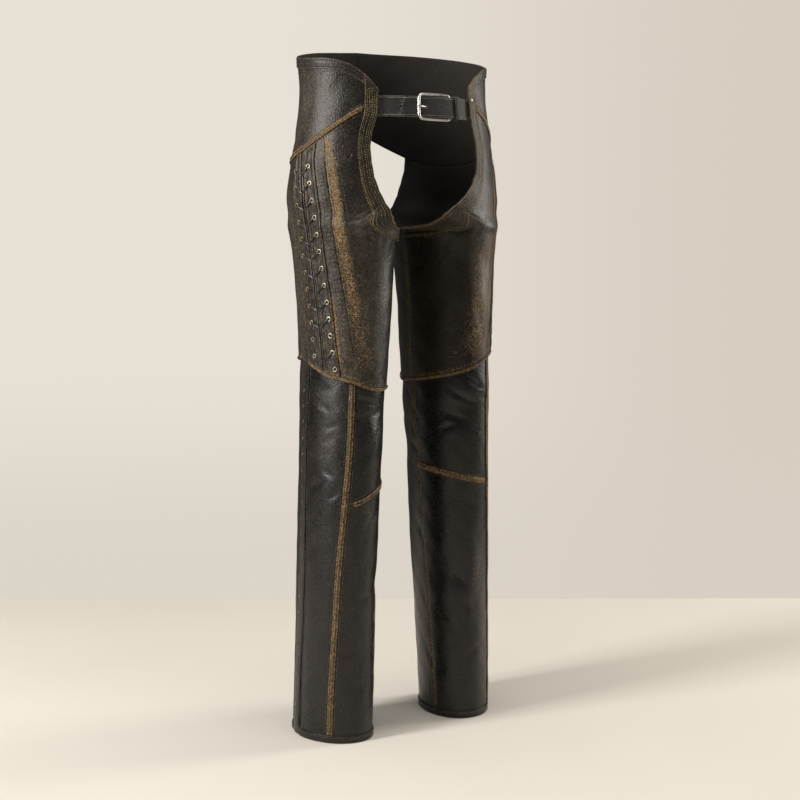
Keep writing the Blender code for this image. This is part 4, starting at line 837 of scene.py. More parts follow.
class Finish(Enum):
    """Every finish of the chaps."""

    BROWN = WaxedLeather("leather_brown", (0.0048, 0.0038, 0.0028), (0.024, 0.0185, 0.0128),
                         (0.120, 0.098, 0.074), edge_rub=0.4, roughness=0.36, grain=0.85)
    BLACK = WaxedLeather("leather_black", (0.0034, 0.0031, 0.0028), (0.0155, 0.0130, 0.0108),
                         (0.088, 0.076, 0.064), edge_rub=0.15, roughness=0.33, gloss=0.38)
    LACED = WaxedLeather("leather_laced", (0.0046, 0.0036, 0.0025), (0.036, 0.0265, 0.0165),
                         (0.200, 0.150, 0.095), edge_rub=0.5, roughness=0.42, grain=0.9, drawn=0.62)
    BAND = WaxedLeather("leather_band", (0.0045, 0.0037, 0.0024), (0.030, 0.024, 0.0135),
                        (0.110, 0.090, 0.055), copper=(0.052, 0.038, 0.015), gold=(0.215, 0.165, 0.070),
                        edge=(0.22, 0.125, 0.058),
                        edge_rub=0.85, all_rub=0.20, roughness=0.44, grain=0.9)
    RUBBED = WaxedLeather("leather_rubbed", (0.0075, 0.0055, 0.0038), (0.038, 0.027, 0.016),
                          (0.12, 0.10, 0.08), edge_rub=0.0, all_rub=0.42, roughness=0.44, grain=0.9)
    BELT = WaxedLeather("leather_belt", (0.022, 0.0205, 0.020), (0.058, 0.053, 0.051), (0.13, 0.12, 0.115),
                        copper=(0.07, 0.062, 0.055), gold=(0.20, 0.185, 0.165), edge=(0.19, 0.18, 0.165),
                        edge_rub=0.7, roughness=0.62, grain=0.6, gloss=0.2)
    # a darker copy of the belt leather: painted shade on the keeper
    KEEPER = WaxedLeather("leather_keeper_shaded", (0.0040, 0.0040, 0.0030), (0.0120, 0.0115, 0.0085),
                          (0.06, 0.055, 0.045), edge=(0.09, 0.085, 0.07), edge_rub=0.8, roughness=0.55,
                          grain=0.6, gloss=0.2)
    LACE = WaxedLeather("leather_lace", (0.0060, 0.0052, 0.0046), (0.030, 0.025, 0.020), (0.15, 0.14, 0.125),
                        copper=(0.06, 0.05, 0.038), gold=(0.18, 0.15, 0.11), edge_rub=0.0, all_rub=0.12,
                        roughness=0.36, grain=0.3, gloss=0.6)
    GOLD_THREAD = Thread("thread_gold", (0.27, 0.215, 0.100), (0.095, 0.073, 0.033))
    BROWN_THREAD = Thread("thread_brown", (0.160, 0.126, 0.080), (0.040, 0.031, 0.021))
    PALE_THREAD = Thread("thread_pale", (0.46, 0.43, 0.37), (0.17, 0.15, 0.12))
    STUD_THREAD = Thread("thread_stud", (0.25, 0.235, 0.205), (0.085, 0.075, 0.062))
    NICKEL = Plate("nickel_plate")
    RING = Plate("eyelet_plate", (0.50, 0.43, 0.31), (0.070, 0.048, 0.028), 0.26, 0.8)
    # painted shade: the dark inside eyelet and belt holes
    HOLLOW = Plain("hollow_shade", (0.003, 0.0028, 0.0025), (0.006, 0.005, 0.004))
    FLOOR = Plain("pale_floor", (0.655, 0.61, 0.54), (0.675, 0.63, 0.56), 0.8, 1.5)
    # a glowing backdrop with painted shade to the right and low down
    WALL = Glow("pale_wall", (0.80, 0.745, 0.67), (0.68, 0.615, 0.54), (0.68, 0.625, 0.545))


class Slot(Enum):
    """The record's material slots."""

    BROWN = "leather_brown"
    BLACK = "leather_black"
    RUBBED = "leather_rubbed"
    LACE = "lace_leather"
    BELT = "belt_leather"
    METAL = "buckle_metal"


class Wardrobe:
    """The materials, each made once and shared."""

    made: dict[Finish, bpy.types.Material] = {}

    @classmethod
    def of(cls, finish: Finish) -> bpy.types.Material:
        """The material of a finish."""
        if finish not in cls.made:
            cls.made[finish] = finish.value.material()
        return cls.made[finish]


# ---------------------------------------------------------------- the workbench
def only(piece: bpy.types.Object) -> bpy.types.Object:
    """Select one object and nothing else.

    Args:
        piece: the object.

    Returns:
        The same object.
    """
    bpy.ops.object.select_all(action="DESELECT")
    piece.select_set(True)
    bpy.context.view_layer.objects.active = piece
    return piece


@contextmanager
def edit_mode(piece: bpy.types.Object) -> Iterator[None]:
    """Work on the whole of a piece in edit mode.

    Args:
        piece: the object, selected all over.
    """
    only(piece)
    bpy.ops.object.mode_set(mode="EDIT")
    bpy.ops.mesh.select_all(action="SELECT")
    yield
    bpy.ops.object.mode_set(mode="OBJECT")


@contextmanager
def opened(piece: bpy.types.Object) -> Iterator[bmesh.types.BMesh]:
    """Work on a piece's mesh edge by edge; it is put back at the end.

    Args:
        piece: the object.
    """
    mesh = bmesh.new()
    mesh.from_mesh(piece.data)
    mesh.normal_update()
    yield mesh
    mesh.to_mesh(piece.data)
    mesh.free()


def face_out(piece: bpy.types.Object) -> bpy.types.Object:
    """Turn every face of a closed piece outward."""
    with opened(piece) as mesh:
        bmesh.ops.recalc_face_normals(mesh, faces=mesh.faces[:])
    return piece


def apply_modifier(piece: bpy.types.Object, kind: str, **settings: object) -> None:
    """Add one modifier with its settings and apply it.

    Args:
        piece: what it works on.
        kind: the modifier's type.
        settings: its options.
    """
    made = piece.modifiers.new(kind.title(), kind)
    for name, value in settings.items():
        setattr(made, name, value)
    only(piece)
    bpy.ops.object.modifier_apply(modifier=made.name)


def coordinates(piece: bpy.types.Object) -> np.ndarray:
    """A piece's vertices as an array."""
    found = np.empty(len(piece.data.vertices) * 3)
    piece.data.vertices.foreach_get("co", found)
    return found.reshape(-1, 3)


def move_to(piece: bpy.types.Object, points: np.ndarray) -> None:
    """Put a piece's vertices at new points."""
    piece.data.vertices.foreach_set("co", np.ascontiguousarray(points, dtype=np.float64).ravel())
    piece.data.update()


def linked(name: str, data: bpy.types.ID) -> bpy.types.Object:
    """Put a mesh, light or camera into the scene."""
    made = bpy.data.objects.new(name, data)
    bpy.context.scene.collection.objects.link(made)
    return made


def new_piece(name: str, points: Sequence, faces: Sequence) -> bpy.types.Object:
    """Make a piece from points and faces."""
    mesh = bpy.data.meshes.new(name)
    mesh.from_pydata(points, [], faces)
    return linked(name, mesh)


def copied(node: str, name: str) -> bpy.types.Object:
    """Make a piece from a solid, with its doubles merged.

    Args:
        node: the solid.
        name: the new piece's name.

    Returns:
        The piece.
    """
    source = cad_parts[node].data
    piece = new_piece(name, [v.co[:] for v in source.vertices], [p.vertices[:] for p in source.polygons])
    with edit_mode(piece):
        bpy.ops.mesh.remove_doubles(threshold=0.01 * MM)
    return piece


def primitive(kind: str, **settings: object) -> bpy.types.Object:
    """Add one simple shape."""
    bpy.ops.object.select_all(action="DESELECT")
    getattr(bpy.ops.mesh, f"primitive_{kind}_add")(**settings)
    return bpy.context.object


def model(kind: str, scale: tuple[float, float, float], **settings: object) -> Shape:
    """The points and faces of one simple shape, which is repeated and not kept itself.

    Args:
        kind: which primitive.
        scale: how far it is drawn out along X, Y and Z.
        settings: the primitive's own.

    Returns:
        Its points and faces.
    """
    made = primitive(kind, **settings)
    shape = coordinates(made) * np.array(scale), [tuple(face.vertices) for face in made.data.polygons]
    bpy.data.objects.remove(made)
    return shape


class Joined:
    """Small shapes that make one piece."""

    def __init__(self) -> None:
        """Start with none."""
        self.points, self.faces, self.count = [], [], 0

    def add(self, points: np.ndarray, faces: Sequence[Sequence[int]]) -> None:
        """Join one more shape."""
        self.points.append(points)
        self.faces += [tuple(self.count + k for k in face) for face in faces]
        self.count += len(points)

    def piece(self, name: str) -> bpy.types.Object:
        """The shapes as one piece."""
        return new_piece(name, np.concatenate(self.points).tolist(), self.faces)


def hand_over(piece: bpy.types.Object, finish: Finish, nodes: Sequence[str] = (),
              smooth: float = 50.0) -> bpy.types.Object:
    """Finish a piece: its material and shading, the body it rides on and the nodes it stands for.

    Args:
        piece: the finished piece, with its place in its mesh.
        finish: what it is made of.
        nodes: the solids that it replaces.
        smooth: edges sharper than this many degrees stay sharp.

    Returns:
        The piece.
    """
    piece.data.materials.clear()
    piece.data.materials.append(Wardrobe.of(finish))
    only(piece)
    bpy.ops.object.shade_smooth_by_angle(angle=math.radians(smooth))
    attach(piece, "root")
    if nodes:
        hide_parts(*nodes)
    LOG.info("%s: %d vertices", piece.name, len(piece.data.vertices))
    return piece


@dataclass
class Pattern:
    """A piece while it is worked on flat: X is the way round the leg, Y the height and Z the lift."""

    skin: Skin
    piece: bpy.types.Object
    scale: float  # metres in X for a degree
    hollow: np.ndarray | None = None  # how deep in a groove each vertex is, from 0 to 1; it sets the painted shade there
    lined: bool = False  # whether its inner side shows

    @classmethod
    def of_node(cls, skin: Skin, node: str, start: float) -> "Pattern":
        """Unroll a copy of a solid.

        Args:
            skin: what it lies on.
            node: the solid; the piece is named for it.
            start: the least angle that it reaches.

        Returns:
            The flat pattern, with its triangles paired.
        """
        piece = copied(node, f"{node}_leather")
        angle, height, lift = skin.find(coordinates(piece), start)
        scale = skin.metres_a_degree(float(np.mean(angle)), float(np.mean(height)))
        move_to(piece, np.stack((angle * scale, height, lift), axis=-1))
        with edit_mode(piece):
            bpy.ops.mesh.tris_convert_to_quads(face_threshold=math.radians(25),
                                               shape_threshold=math.radians(179))
        return cls(skin, piece, scale).unfold()

    @classmethod
    def of_ribbon(cls, skin: Skin, name: str, sides: tuple[Line, Line], ends: tuple[Line, Line],
                  cells: tuple[int, int], base: float, rise: float) -> "Pattern":
        """A strip between two upright lines.

        Args:
            skin: what it lies on.
            name: the piece's name.
            sides: the angle of each side at a height.
            ends: the height of each end, the lower one first, at an angle.
            cells: how many there are across it and up it.
            base: the lift of its underside.
            rise: its thickness.

        Returns:
            The flat pattern.
        """
        piece = primitive("grid", x_subdivisions=cells[0], y_subdivisions=cells[1], size=1.0)
        piece.name = piece.data.name = name
        points = coordinates(piece)
        across, up_it = points[:, 0] + 0.5, points[:, 1] + 0.5
        (near, far), (low, high) = sides, ends
        height = THIGH_LOW + THIGH_LENGTH * up_it
        for _ in range(6):
            angle = near(height) + (far(height) - near(height)) * across
            height = low(angle) + (high(angle) - low(angle)) * up_it
        scale = skin.metres_a_degree(float(np.mean(angle)), float(np.mean(height)))
        move_to(piece, np.stack((angle * scale, height, np.full_like(angle, base + rise)), axis=-1))
        apply_modifier(piece, "SOLIDIFY", thickness=rise, offset=-1.0)
        return cls(skin, piece, scale)

    def unfold(self) -> "Pattern":
        """Join each face that came out turned over to the neighbour that it lies on, and cut both anew.

        Returns:
            The pattern.
        """
        with opened(self.piece) as mesh:
            longest = []
            for face in mesh.faces:
                beside = [other.normal.z * face.normal.z for edge in face.edges for other in edge.link_faces
                          if other is not face and abs(other.normal.z) > 0.5]
                if beside and abs(face.normal.z) > 0.5 and max(beside) < 0:
                    longest.append(max(face.edges, key=lambda edge: edge.calc_length()))
            if longest:
                bmesh.ops.dissolve_edges(mesh, edges=longest)
                bmesh.ops.triangulate(mesh, faces=[face for face in mesh.faces if len(face.verts) > 4])
        return self

    def round_edges(self, width: float) -> "Pattern":
        """Bevel the sharp edges by a width in millimetres.

        Args:
            width: millimetres.

        Returns:
            The pattern.
        """
        with edit_mode(self.piece):
            bpy.ops.mesh.select_mode(type="EDGE")
            bpy.ops.mesh.select_all(action="DESELECT")
            bpy.ops.mesh.edges_select_sharp(sharpness=math.radians(50))
            bpy.ops.mesh.bevel(offset=width * MM, segments=2, affect="EDGES", clamp_overlap=True)
        return self

    def cut(self, level_cuts: int, upright_cuts: int, even: bool = False) -> "Pattern":
        """Cut the cells finer.

        Args:
            level_cuts: cuts in each edge that runs round the leg.
            upright_cuts: cuts in each edge that runs up it.
            even: whether the triangles are paired anew, so that no sliver is left.

        Returns:
            The pattern.
        """
        passes = ((True, upright_cuts), (False, level_cuts))
        if level_cuts == upright_cuts:
            passes = ((None, level_cuts),)
        with opened(self.piece) as mesh:
            for upright, cuts in passes:
                chosen = []
                for edge in mesh.edges:
                    run = edge.verts[1].co - edge.verts[0].co
                    steep = abs(run.y) > abs(run.x)
                    if run.length > LEAST_CUT and upright in (None, steep) and abs(run.z) < run.length * 0.7:
                        chosen.append(edge)
                bmesh.ops.subdivide_edges(mesh, edges=chosen, cuts=cuts, use_grid_fill=True)
            bmesh.ops.triangulate(mesh, faces=[face for face in mesh.faces if even or len(face.verts) > 4])
            if even:
                flat = [edge for edge in mesh.edges
                        if len(edge.link_faces) == 2 and edge.calc_face_angle() < FLAT_ANGLE]
                bmesh.ops.beautify_fill(mesh, faces=mesh.faces[:], edges=flat, method="ANGLE")
        return self

    def rim(self) -> np.ndarray:
        """Each vertex's distance from the pattern's outline.

        Returns:
            Metres, for each vertex.
        """
        mesh = bmesh.new()
        mesh.from_mesh(self.piece.data)
        mesh.normal_update()
        ends = []
        for edge in mesh.edges:
            if any(abs(face.normal.z) < 0.35 for face in edge.link_faces):
                one, other = edge.verts[0].co, edge.verts[1].co
                count = 1 + int((other - one).length / MM)
                ends += [one.lerp(other, i / count) for i in range(count + 1)]
        tree = kdtree.KDTree(len(ends))
        for i, end in enumerate(ends):
            tree.insert((end.x, end.y, 0), i)
        tree.balance()
        found = np.array([tree.find((v.co.x, v.co.y, 0))[2] for v in mesh.verts])
        mesh.free()
        return found

    def shape(self, profile: Profile) -> "Pattern":
        """Move the outer face by a profile of (rim distance, x, y), all in metres.

        Args:
            profile: how far each place of the outer face rises.

        Returns:
            The pattern.
        """
        points = coordinates(self.piece)
        normals = np.empty(len(points) * 3)
        self.piece.data.vertex_normals.foreach_get("vector", normals)
        outer = np.clip(normals.reshape(-1, 3)[:, 2] * 2, 0, 1)
        moved = profile(self.rim(), points[:, 0], points[:, 1])
        points[:, 2] += outer * moved
        self.hollow = outer * np.clip(-moved / DEEP, 0, 1)
        move_to(self.piece, points)
        return self

    def lay(self, creased: bool = True) -> bpy.types.Object:
        """Paint the wear, the painted highlights and the painted shade of grooves on the pattern and lay it on
        the skin.

        Args:
            creased: whether it follows the creases.

        Returns:
            The piece, in its place.
        """
        points = coordinates(self.piece)
        angle, height, lift = points[:, 0] / self.scale, points[:, 1], points[:, 2]
        side, mesh, none = self.skin.side, self.piece.data, np.zeros(len(points))
        painted = {
            "rim": self.rim(),
            "rub": np.max([band.amount(self.skin, angle, height) for band in rubs(side)], axis=0),
            # painted highlights and painted shade, with some scuffing
            "scuff_and_painted_light": np.clip(sum(Patch(*row).lightness(angle, height) for row in PATCHES[side]), 0, 1),
            "hollow": none if self.hollow is None else self.hollow,
            "inside": (lift < (lift.min() + lift.max()) / 2) if self.lined else none,
        }
        for name, values in painted.items():
            mesh.attributes.new(name, "FLOAT", "POINT").data.foreach_set("value", values.astype(np.float32))
        corners = np.empty(len(mesh.loops), dtype=np.int32)
        mesh.loops.foreach_get("vertex_index", corners)
        flat = mesh.uv_layers.new(name="pattern")
        flat.data.foreach_set("uv", points[corners][:, :2].astype(np.float32).ravel())
        move_to(self.piece, self.skin.place(angle, height, lift, creased))
        return face_out(self.piece)

    def flat_size(self) -> tuple[float, float]:
        """The pattern's width and length in metres, measured along the skin.

        Returns:
            Width and length.
        """
        points = coordinates(self.piece)
        angle, height = points[:, 0] / self.scale, points[:, 1]
        low, high = height.min(), height.max()
        width = 0.0
        for row in np.linspace(low, high, 12)[1:-1]:
            near = np.abs(height - row) < (high - low) / 20
            if near.any():
                span = np.linspace(angle[near].min(), angle[near].max(), 60)
                line = self.skin.place(span, np.full(60, row), 0.0, False)
                width = max(width, float(np.linalg.norm(np.diff(line, axis=0), axis=1).sum()))
        return width, float(high - low)


def closed_area(piece: bpy.types.Object) -> float:
    """Half a thin closed piece's surface, which is the area of its cut."""
    return sum(face.area for face in piece.data.polygons) / 2


# ---------------------------------------------------------------- one side's cut panels
@dataclass
class Panels:
    """The eight cut panels of one side."""

    skin: Skin
    edge_width: float = 0.55
    # name, finish, slot, least angle, cuts round and up in each cell of the solid
    cuts: tuple = (
        ("yoke", Finish.BROWN, Slot.BROWN, -100, 4, 11),
        ("thigh_front", Finish.BROWN, Slot.BROWN, -80, 3, 8),
        ("lacing_base", Finish.LACED, Slot.BROWN, -100, 3, 9),
        ("thigh_back", Finish.BROWN, Slot.BROWN, 90, 4, 8),
        ("knee", Finish.BLACK, Slot.BLACK, 0, 4, 7),
        ("shin", Finish.BLACK, Slot.BLACK, 0, 3, 12),
        ("calf_outer", Finish.BLACK, Slot.BLACK, -90, 3, 11),
        ("calf_back", Finish.BLACK, Slot.BLACK, 90, 4, 10),
    )

    def build(self) -> list[bpy.types.Object]:
        """Make the panels, each with the size that it was cut to.

        Returns:
            The panels.
        """
        made = []
        for name, finish, slot, start, level_cuts, upright_cuts in self.cuts:
            node = f"{self.skin.side.label}_{name}"
            flat = Pattern.of_node(self.skin, node, start)
            flat.round_edges(self.edge_width).cut(level_cuts, upright_cuts, even=True)
            flat.lined = True
            width, length = flat.flat_size()
            piece = hand_over(flat.lay(), finish, [node])
            area = closed_area(piece)
            width = max(width, area / length)
            LOG.info("%s: cut %.3f x %.3f m, %.4f m2", piece.name, width, length, area)
            made.append(piece)
        return made


# ---------------------------------------------------------------- bands, welts and bindings
def hump(rim: np.ndarray, middle: float, width: float) -> np.ndarray:
    """A bell over the distance from the rim, 1 at its middle; middle and width in millimetres."""
    return np.exp(-((rim / MM - middle) / width) ** 2)


def ridges(middle: float, depth: float, width: float = 1.15) -> Profile:
    """A profile with a groove along the middle and a round ridge on each side of it; millimetres.

    Args:
        middle: how far the groove is from the rim.
        depth: the groove's.
        width: the groove's.

    Returns:
        The profile.
    """
    def profile(rim: np.ndarray, x: np.ndarray, y: np.ndarray) -> np.ndarray:
        """How far each place rises."""
        uneven = 1 + 0.25 * np.sin(y * 310 + x * 170) + 0.2 * np.sin(y * 131 - x * 260)
        ridge = 0.45 * uneven * hump(rim, middle * 0.5, 1.1)
        return (ridge - depth * hump(rim, middle, width) - 0.5 * hump(rim, 0, 0.7)) * MM
    return profile


def piped(middle: float, rise: float) -> Profile:
    """A profile with one thin round ridge along the middle between two low flanks; millimetres.

    Args:
        middle: how far the ridge is from the rim.
        rise: the ridge's.

    Returns:
        The profile.
    """
    def profile(rim: np.ndarray, x: np.ndarray, y: np.ndarray) -> np.ndarray:
        """How far each place rises."""
        uneven = 1 + 0.2 * np.sin(y * 290 + x * 150) + 0.2 * np.sin(y * 117)
        return (rise * uneven * hump(rim, middle, 1.0) - 0.3 * hump(rim, middle * 0.55, 0.8)) * MM
    return profile


def quilted(rows: Sequence[float], depth: float) -> Profile:
    """A profile drawn down along rows of sewing at these distances from the rim; millimetres.

    Args:
        rows: distances from the rim.
        depth: how far the rows are drawn down.

    Returns:
        The profile.
    """
    def profile(rim: np.ndarray, x: np.ndarray, y: np.ndarray) -> np.ndarray:
        """How far each place rises."""
        return -depth * MM * np.minimum(sum((hump(rim, row, 0.7) for row in rows), np.zeros_like(rim)), 1.0)
    return profile


def puckered(pitch: float, depth: float) -> Profile:
    """A profile gathered into short level pleats; millimetres.

    Args:
        pitch: from pleat to pleat.
        depth: half a pleat's height.

    Returns:
        The profile.
    """
    def profile(rim: np.ndarray, x: np.ndarray, y: np.ndarray) -> np.ndarray:
        """How far each place rises."""
        wander = 0.8 * np.sin(y * 190) + 0.5 * np.sin(y * 77 + x * 300)
        wave = np.sin(y / MM / pitch * 2 * math.pi + wander + np.sin(x * 400) * 0.6)
        return depth * MM * wave * np.clip(rim / MM / 2.5, 0, 1)
    return profile


def rolled(rim: np.ndarray, x: np.ndarray, y: np.ndarray) -> np.ndarray:
    """The profile of an eyelet strip: a rolled edge along the slit and soft upright ribs."""
    roll = 0.85 * hump(rim, 1.7, 1.1) - 0.55 * hump(rim, 4.3, 0.9)
    uneven = 0.22 * np.sin(y * 260 + 3 * np.sin(x * 210)) + 0.2 * np.sin(x * 1500 + 2 * np.sin(y * 90))
    return (roll + uneven) * MM


@dataclass
class Edging:
    """The bands, welts, plackets and bindings of one side."""

    skin: Skin
    # name, finish, slot, least angle, cuts round and up, edge rounding, profile
    pieces: tuple = (
        ("front_band", Finish.BAND, Slot.BROWN, -80, 11, 11, 0.45, quilted(BAND_ROWS, 0.35)),
        ("waist_band", Finish.BROWN, Slot.BROWN, -100, 3, 5, 0.45, quilted((3.0,), 0.3)),
        ("yoke_welt", Finish.RUBBED, Slot.RUBBED, -100, 5, 5, 0.35, ridges(4.8, 0.9)),
        ("calf_welt", Finish.RUBBED, Slot.RUBBED, -60, 5, 10, 0.35, piped(4.8, 0.55)),
        ("knee_side_welt", Finish.RUBBED, Slot.RUBBED, -60, 5, 7, 0.35, piped(4.8, 0.55)),
        ("knee_welt", Finish.RUBBED, Slot.RUBBED, 0, 5, 5, 0.35, ridges(4.8, 0.6, 0.8)),
        ("placket", Finish.BLACK, Slot.BLACK, -120, 5, 7, 0.45, quilted((2.6,), 0.3)),
        ("placket_high", Finish.BROWN, Slot.BROWN, -120, 6, 9, 0.45, puckered(7.5, 0.25)),
        ("thigh_binding", Finish.RUBBED, Slot.RUBBED, -20, 4, 3, 0.5, quilted((), 0.0)),
        ("hem_band", Finish.BLACK, Slot.BLACK, -24, 4, 4, 0.4, quilted((3.2,), 0.25)),
        ("side_strip", Finish.LACED, Slot.BROWN, -60, 4, 18, 0.4, puckered(6.5, 0.3)),
    )

    def build(self) -> list[bpy.types.Object]:
        """Make the trim from the solids, rounded and shaped.

        Returns:
            The bands, welts, plackets and bindings.
        """
        made = []
        for name, finish, slot, start, level_cuts, upright_cuts, edge, profile in self.pieces:
            node = f"{self.skin.side.label}_{name}"
            flat = Pattern.of_node(self.skin, node, start)
            flat.round_edges(edge).cut(level_cuts, upright_cuts).shape(profile)
            made.append(hand_over(flat.lay(), finish, [node]))
        return made


# ---------------------------------------------------------------- sewing
@dataclass
class Sewing:
    """Rows of stitches, joined into one mesh for each thread; millimetres."""

    name: str
    finish: Finish
    pitch: float = 3.9
    length: float = 3.0
    thickness: float = 1.15
    lifted: float = 0.25
    stitches: Joined = field(default_factory=Joined)

    def __post_init__(self) -> None:
        """Model the stitch, along X, that every row repeats."""
        size = (self.length * MM, self.thickness * MM, self.thickness * 0.8 * MM)
        self.stitch = model("ico_sphere", size, subdivisions=1, radius=0.5)

    def row(self, skin: Skin, route: Sequence[Place], lift: float, creased: bool = True) -> None:
        """Sew along a route.

        Args:
            skin: what it lies on.
            route: places in order.
            lift: of the surface that is sewn, in millimetres.
            creased: whether that surface follows the creases.
        """
        places, rise = np.asarray(route, float), (lift + self.lifted) * MM
        line = skin.place(places[:, 0], places[:, 1], rise, creased)
        lengths = np.concatenate(((0,), np.cumsum(np.linalg.norm(np.diff(line, axis=0), axis=1))))
        count = int(lengths[-1] / (self.pitch * MM))
        if count < 1:
            return
        at = (np.arange(count) + 0.5) / count * lengths[-1]
        middle, ahead, back = ([np.interp(at + shift, lengths, places[:, k]) for k in (0, 1)]
                               for shift in (0, MM, -MM))
        centre = skin.place(*middle, rise, creased)
        along = unit(skin.place(*ahead, 0.0, False) - skin.place(*back, 0.0, False))
        side = unit(np.cross(skin.steps(*middle)[2], along))
        points, faces = self.stitch
        for start, axes in zip(centre, np.stack((along, side, np.cross(along, side)), axis=1)):
            self.stitches.add(start + points @ axes, faces)

    def build(self, slot: Slot) -> bpy.types.Object:
        """Join all the stitches into one piece."""
        return hand_over(self.stitches.piece(self.name), self.finish, smooth=180)


def up(line: Table, low: float, high: float) -> list[Place]:
    """A route up an upright seam."""
    heights = np.linspace(low, high, 60)
    return list(zip(curve(line, heights), heights))


def level_run(line: Table, start: float, end: float, offset: float, count: int) -> list[Place]:
    """A route along a level seam, some millimetres above it."""
    angles = np.linspace(start, end, count)
    return list(zip(angles, level(line, angles) + offset * MM))


def smooth_route(places: Sequence[Place], count: int) -> list[Place]:
    """Even places along a smooth curve through a few given ones.

    Args:
        places: the given ones, in order.
        count: how many steps there are.

    Returns:
        The route.
    """
    steps = [0.0]
    for (a0, h0), (a1, h1) in zip(places, places[1:]):
        steps.append(steps[-1] + math.hypot((a1 - a0) * FRONT_DEGREE, h1 - h0))
    at = np.linspace(0, steps[-1], count + 1)
    angles, heights = (curve([(s, place[k]) for s, place in zip(steps, places)], at) for k in (0, 1))
    return list(zip(angles, heights))


@dataclass
class SideSewing:
    """All the sewing of one side; millimetres."""

    skin: Skin
    arch_middle: float = 11.0
    arch_top: float = 1.030  # metres
    panel_lift: float = 0.0
    strip_lift: float = 1.9
    band_lift: float = 2.0
    hem_lift: float = 1.7
    top_lift: float = 1.95
    tacks: int = 5
    tack_low: float = 0.7955  # metres
    tack_step: float = 3.2
    tack_angles: Place = (-24.5, -17.5)

    @property
    def front(self) -> float:
        """The angle of the yoke's front edge."""
        return YOKE_FRONT_ANGLE + self.skin.side.value * YOKE_FRONT_SWING

    def band(self, sewing: Sewing) -> None:
        """Three nested rows that go up the band, arch over at the belt and come down again.

        Args:
            sewing: the thread.
        """
        skin, front = self.skin, self.front
        corner = (front, float(level(YOKE_SEAM, front)))
        edge = [(front, self.arch_top)] + smooth_route((corner, *FRONT_OPENING[skin.side], CROTCH), 60)
        angle, height = skin.route_beside(edge[:2], -self.arch_middle * MM)[0]
        scale = skin.metres_a_degree(angle, height)
        for row, short in zip(BAND_ROWS, (8, 8, 4)):
            outer = skin.route_beside(edge, -row * MM)
            inner = skin.route_beside(edge, -(2 * self.arch_middle - row) * MM)
            radius = (self.arch_middle - row) * MM
            arch = [(angle + radius / scale * math.cos(turn), height + radius * math.sin(turn))
                    for turn in np.linspace(0, math.pi, 12)]
            sewing.row(skin, outer[::-1] + arch + inner[:-short], self.band_lift)

    def level_rows(self, sewing: Sewing) -> None:
        """The rows along the top edge, the yoke seam, the hems and the knee seam.

        Args:
            sewing: the thread.
        """
        skin, side, flat = self.skin, self.skin.side, self.panel_lift
        angles = np.linspace(-89, self.front - 2.0, 110)
        band = self.band_lift
        for offset, lift, short in ((-3.4, self.top_lift, 0), (-8.5, band, 0), (-13.5, band, 0),
                                    (-20.5, flat, 8), (-25.5, flat, 8)):
            run = angles[:len(angles) - short]
            sewing.row(skin, list(zip(run, top_edge(side, run) + offset * MM)), lift)
        for line, start, end, count, rows in (
                (YOKE_SEAM, -58, self.front - 10, 90, ((7.6, flat), (-7.6, flat))),
                (THIGH_HEM[side], 12, 330, 160, ((7.4, flat), (3.2, self.strip_lift))),
                (KNEE_SEAM[side], 68, 176, 90, ((-7.6, flat), (7.6, flat))),
                (LEG_HEM, -12, 312, 200, ((8.6, self.hem_lift),))):
            for offset, lift in rows:
                sewing.row(skin, level_run(line, start, end, offset, count), lift)

    def upright_rows(self, sewing: Sewing) -> None:
        """The rows beside the upright seams, each some millimetres forward of its seam.

        Args:
            sewing: the thread.
        """
        flat, strip = self.panel_lift, self.strip_lift
        seam_low, strip_low = {Side.RIGHT: (0.612, 0.618), Side.LEFT: (0.628, 0.648)}[self.skin.side]
        for line, low, high, lift, offsets in (
                (SIDE_SEAM, seam_low, 0.955, flat, (3.0, 21.5)),
                (SIDE_SEAM, 0.66, 0.94, strip, (-3.5, -12.6)),
                (FRONT_EYELET_LINE, strip_low, 0.925, strip, (-6.4, 6.2)),
                (REAR_EYELET_LINE, strip_low, 0.925, strip, (-6.2, 6.0)),
                (LACE_SLIT, strip_low, 0.925, strip, (-5.0, 5.0)),
                (OUTSEAM, 0.635, 0.925, flat, (-3.2,)),
                (CALF_SEAM, 0.02, 0.54, flat, (-7.6, 7.6)),
                (INSEAM, 0.02, 0.80, flat, (-4.75, 4.75)),
                (OUTSEAM, 0.02, 0.57, self.band_lift, (-4.4,)),
                (OUTSEAM, 0.02, 0.57, strip, (-27.0,))):
            for offset in offsets:
                sewing.row(self.skin, self.skin.route_beside(up(line, low, high), -offset * MM), lift)

    def build(self) -> list[bpy.types.Object]:
        """Sew every row of the side.

        Returns:
            One piece for each thread.
        """
        label = self.skin.side.label
        gold = Sewing(f"{label}_gold_sewing", Finish.GOLD_THREAD)
        brown = Sewing(f"{label}_brown_sewing", Finish.BROWN_THREAD, pitch=4.1, thickness=1.1)
        pale = Sewing(f"{label}_stud_sewing", Finish.STUD_THREAD, pitch=25.5, length=6.5, thickness=2.0)
        self.band(gold)
        self.level_rows(brown)
        self.upright_rows(brown)
        pale.row(self.skin, self.skin.route_beside(up(OUTSEAM, 0.035, 0.58), 14.5 * MM), self.band_lift)
        for tack in range(self.tacks):
            height = self.tack_low + self.tack_step * tack * MM
            start, end = (angle + tack for angle in self.tack_angles)
            brown.row(self.skin, [(start, height), (end, height + 1 * MM)], self.band_lift)
        return [gold.build(Slot.BROWN), brown.build(Slot.BROWN), pale.build(Slot.BROWN)]


# ---------------------------------------------------------------- the side lacing
def beside(line: Table, offset: float) -> Line:
    """The angle, at a height, some millimetres forward of an upright seam."""
    return lambda height: curve(line, height) + offset * MM / THIGH_DEGREE


